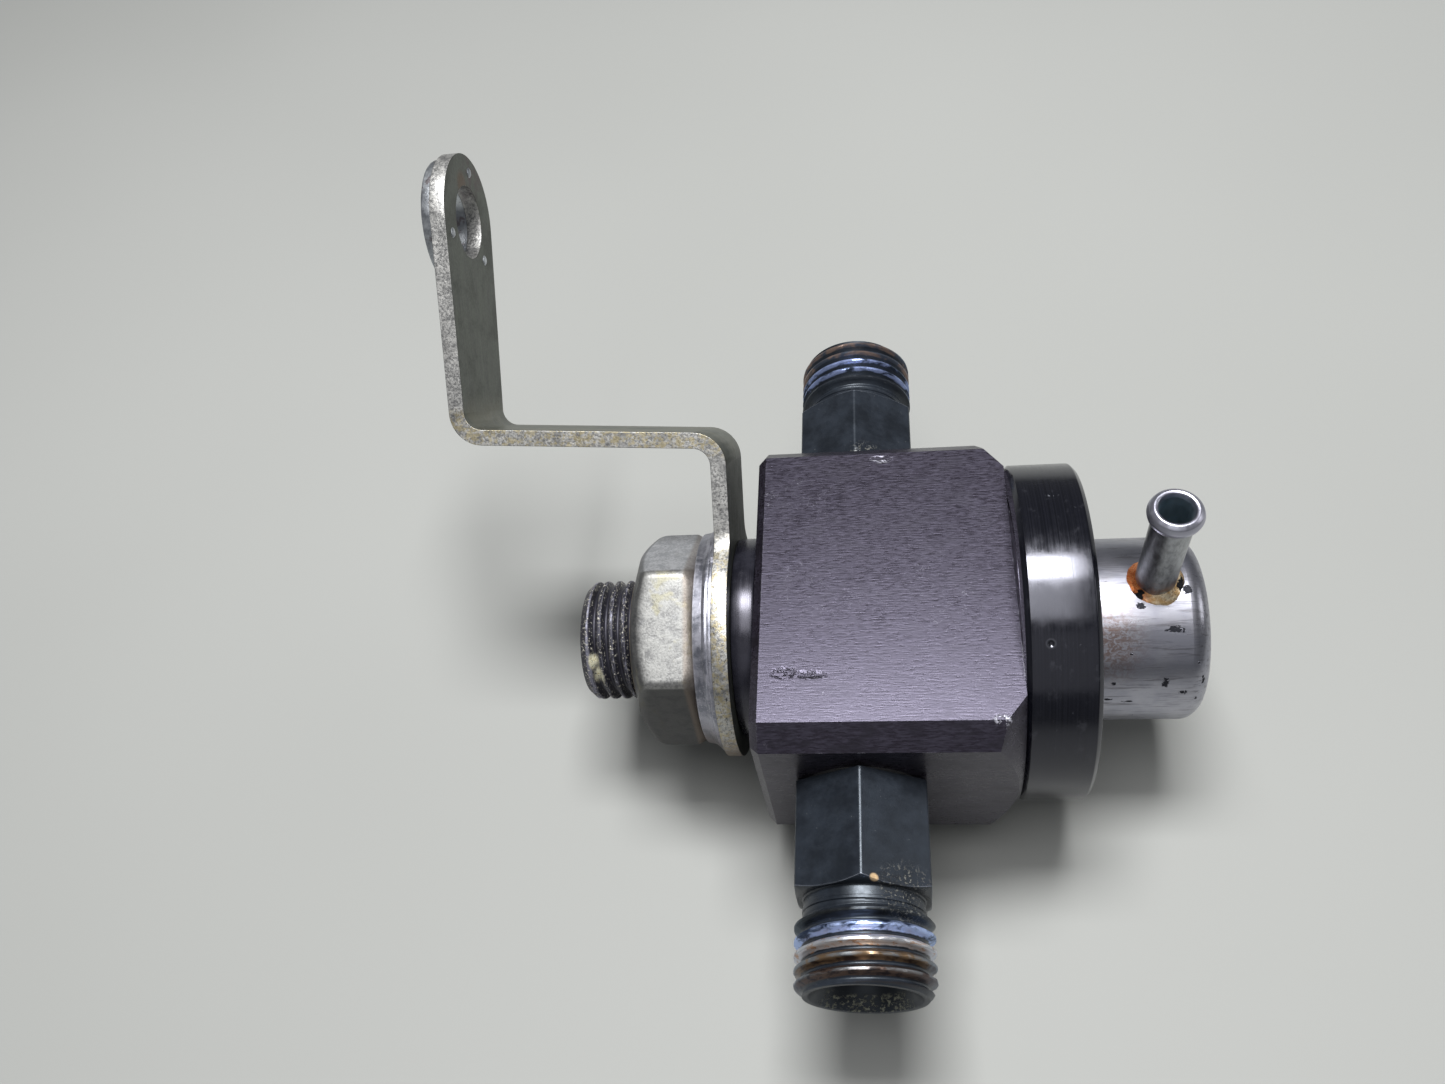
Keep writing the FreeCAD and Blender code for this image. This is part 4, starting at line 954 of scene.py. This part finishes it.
def add_washers(material):
    """Flange washer and spring washer; the spring washer is split, one end a little proud."""
    left, right = ends("flange_washer")
    uneven = lambda t: 0.14 * wobble(t, 4.0, 1.0)
    rows = [(left, 7.18), (left, 12.2), (left + 0.12, 12.45), (lambda t: right - 0.75 + uneven(t), 12.62),
            (lambda t: right - 0.55 + uneven(t), 12.85), (right - 0.3, lambda t: 13.0 + 0.4 * uneven(t)),
            (right - 0.05, lambda t: 12.98 + 0.4 * uneven(t)), (right, 12.85), (right, 7.18)]
    flange = turned("flange_washer_finished", rows, around(220), main_axis)
    finish_piece(flange, "washers", material, ["flange_washer"])
    left, right = ends("lock_washer")
    split = radians(-12.0)

    def edge(t):
        past = (t - split) % (2 * pi)
        ragged = 0.12 * abs(wobble(t, 3.5, 5.0))
        gap = 0.55 * max(0.0, 1.0 - past / 0.05)
        return 13.45 - ragged - gap - (0.10 if past > pi else 0.0)
    rows = [(left, 7.18), (left, lambda t: edge(t) - 0.12), (left + 0.05, lambda t: edge(t) - 0.03),
            (left + 0.14, edge), (right - 0.14, edge), (right - 0.05, lambda t: edge(t) - 0.03),
            (right, lambda t: edge(t) - 0.12), (right, 7.18)]
    lock = turned("lock_washer_finished", rows, around(220), main_axis)
    finish_piece(lock, "washers", material, ["lock_washer"])


def add_backing_disc(material):
    """Flat disc welded behind the fixing hole, its rim rounded by the press."""
    back, face = ends("backing_disc")
    hole, radius = 4.15, 7.2
    place = lambda a, u, v: tuple(bracket_point(a, v, FIXING_HOLE_UP + u))
    rim = lambda t: radius - 0.08 * abs(wobble(t, 3.0, 8.0))
    rows = [(face, hole), (face, lambda t: rim(t) - 0.10), (face - 0.10, rim), (back + 0.35, rim),
            (back + 0.12, lambda t: rim(t) - 0.10), (back, lambda t: rim(t) - 0.35), (back, hole + 0.25),
            (back + 0.07, hole + 0.07), (back + 0.25, hole)]
    disc = turned("backing_disc_finished", rows, around(140), place, smooth_angle=40.0)
    finish_piece(disc, "bracket", material, ["backing_disc"])


def add_weld_marks(material):
    """Three small bright buttons where the disc was projection welded through the strip."""
    face, reach, sides = -43.7, 5.95, 20
    button = [(0.62, -0.10), (0.60, 0.0), (0.46, 0.12), (0.26, 0.19)]
    verts, faces = [], []
    for degrees in (12.0, 132.0, 252.0):
        centre = radians(degrees)
        across, up = reach * sin(centre), FIXING_HOLE_UP + reach * cos(centre)
        first = len(verts)
        for radius, rise in button:
            for k in range(sides):
                t = 2 * pi * k / sides
                uneven = radius * (1 + 0.12 * wobble(t, 1.0, degrees))
                verts.append(tuple(bracket_point(face + rise, across + uneven * cos(t),
                                                 up + uneven * sin(t))))
        verts.append(tuple(bracket_point(face + 0.21, across, up)))
        tip, top = len(verts) - 1, first + (len(button) - 1) * sides
        for i in range(len(button) - 1):
            for k in range(sides):
                m = (k + 1) % sides
                faces.append((first + i * sides + k, first + i * sides + m,
                              first + (i + 1) * sides + m, first + (i + 1) * sides + k))
        faces += [(top + k, top + (k + 1) % sides, tip) for k in range(sides)]
        faces.append(tuple(first + k for k in range(sides))[::-1])
    marks = make_object("weld_marks", verts, faces, 60.0)
    finish_piece(marks, "bracket", material)


# ---------- stage
def add_stage():
    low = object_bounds()[0].z
    mesh = bpy.data.meshes.new("floor")
    reach = 1.5
    mesh.from_pydata([(-reach, -reach, low), (reach, -reach, low), (reach, reach, low), (-reach, reach, low)],
                     [], [(0, 1, 2, 3)])
    floor = bpy.data.objects.new("floor", mesh)
    bpy.context.scene.collection.objects.link(floor)
    floor.data.materials.append(floor_material())


def add_light(name, direction, distance, size, power, stretch=1.0):
    """A soft light that looks at the block from a direction; stretch widens it along X."""
    data = bpy.data.lights.new(name, "AREA")
    data.shape = "RECTANGLE"
    data.size, data.size_y = size * stretch, size
    data.energy = power
    light = bpy.data.objects.new(name, data)
    bpy.context.scene.collection.objects.link(light)
    target = Vector((0, 0, AXIS_Z * MM))
    away = Vector(direction).normalized()
    light.location = target + away * distance
    light.rotation_euler = away.to_track_quat("Z", "Y").to_euler()


def leaning(degrees):
    """A direction that leans back from straight up, or to the front where negative."""
    lean = radians(degrees)
    return (0.0, sin(lean), cos(lean))


def add_lights():
    world = bpy.data.worlds.new("studio")
    world.use_nodes = True
    background = world.node_tree.nodes["Background"]
    background.inputs["Color"].default_value = (0.93, 0.96, 1.0, 1.0)
    background.inputs["Strength"].default_value = 0.14
    bpy.context.scene.world = world
    add_light("overhead", leaning(11.5), distance=0.50, size=0.135, power=4.0, stretch=1.75)
    add_light("overhead_skirt", leaning(-9.0), distance=0.50, size=0.24, power=0.85)
    add_light("front_fill", leaning(-50.0), distance=0.50, size=0.36, power=0.16)
    add_light("right", (1.0, 0.10, 0.45), distance=0.60, size=0.20, power=0.30)
    bpy.context.scene.view_settings.view_transform = "Standard"


# ---------- build
add_camera()
add_ring(ring_material())
add_nipple(nipple_material())
add_braze(braze_material())
add_union("inlet_union", 1, union_material("rear_union", 1), 0.05)
add_union("outlet_union", -1, union_material("front_union", -1), 0.16)
add_stub(stub_material())
add_nut(nut_material())
washer = washer_material()
add_washers(washer)
disc_steel = disc_material()
add_backing_disc(disc_steel)
add_weld_marks(disc_steel)

tidy_cad("valve_block", 0.11)
dress("valve_block", block_material())
tidy_cad("bracket", 0.16)
dress("bracket", bracket_material())
dress("spring_housing", housing_material())

rubber = plain_material("rubber", (0.012, 0.012, 0.013, 1), (0.030, 0.030, 0.032, 1), 0.6, 0.0, 3.0, 0.02)
steel = plain_material("inner_steel", rgb(150, 150, 154), rgb(182, 182, 186), 0.34, 0.95)
polished = plain_material("polished_steel", rgb(196, 197, 200), rgb(214, 215, 218), 0.12, 1.0,
                          relief=0.001)
brass = plain_material("brass", rgb(170, 132, 70), rgb(206, 170, 104), 0.30, 0.95)
wire = plain_material("spring_wire", rgb(104, 106, 112), rgb(146, 148, 152), 0.36, 0.9, 3.0)
fibre = plain_material("gasket_fibre", (0.006, 0.006, 0.007, 1), (0.014, 0.014, 0.015, 1), 0.6, 0.0)
for node, material in (
        ("diaphragm", rubber), ("stub_seal", rubber), ("back_plate", steel), ("spring_cup", steel),
        ("valve_holder", steel), ("valve_ball", polished), ("valve_seat", brass), ("main_spring", wire),
        ("inlet_gasket", fibre), ("outlet_gasket", fibre)):
    dress(node, material)

add_stage()
add_lights()
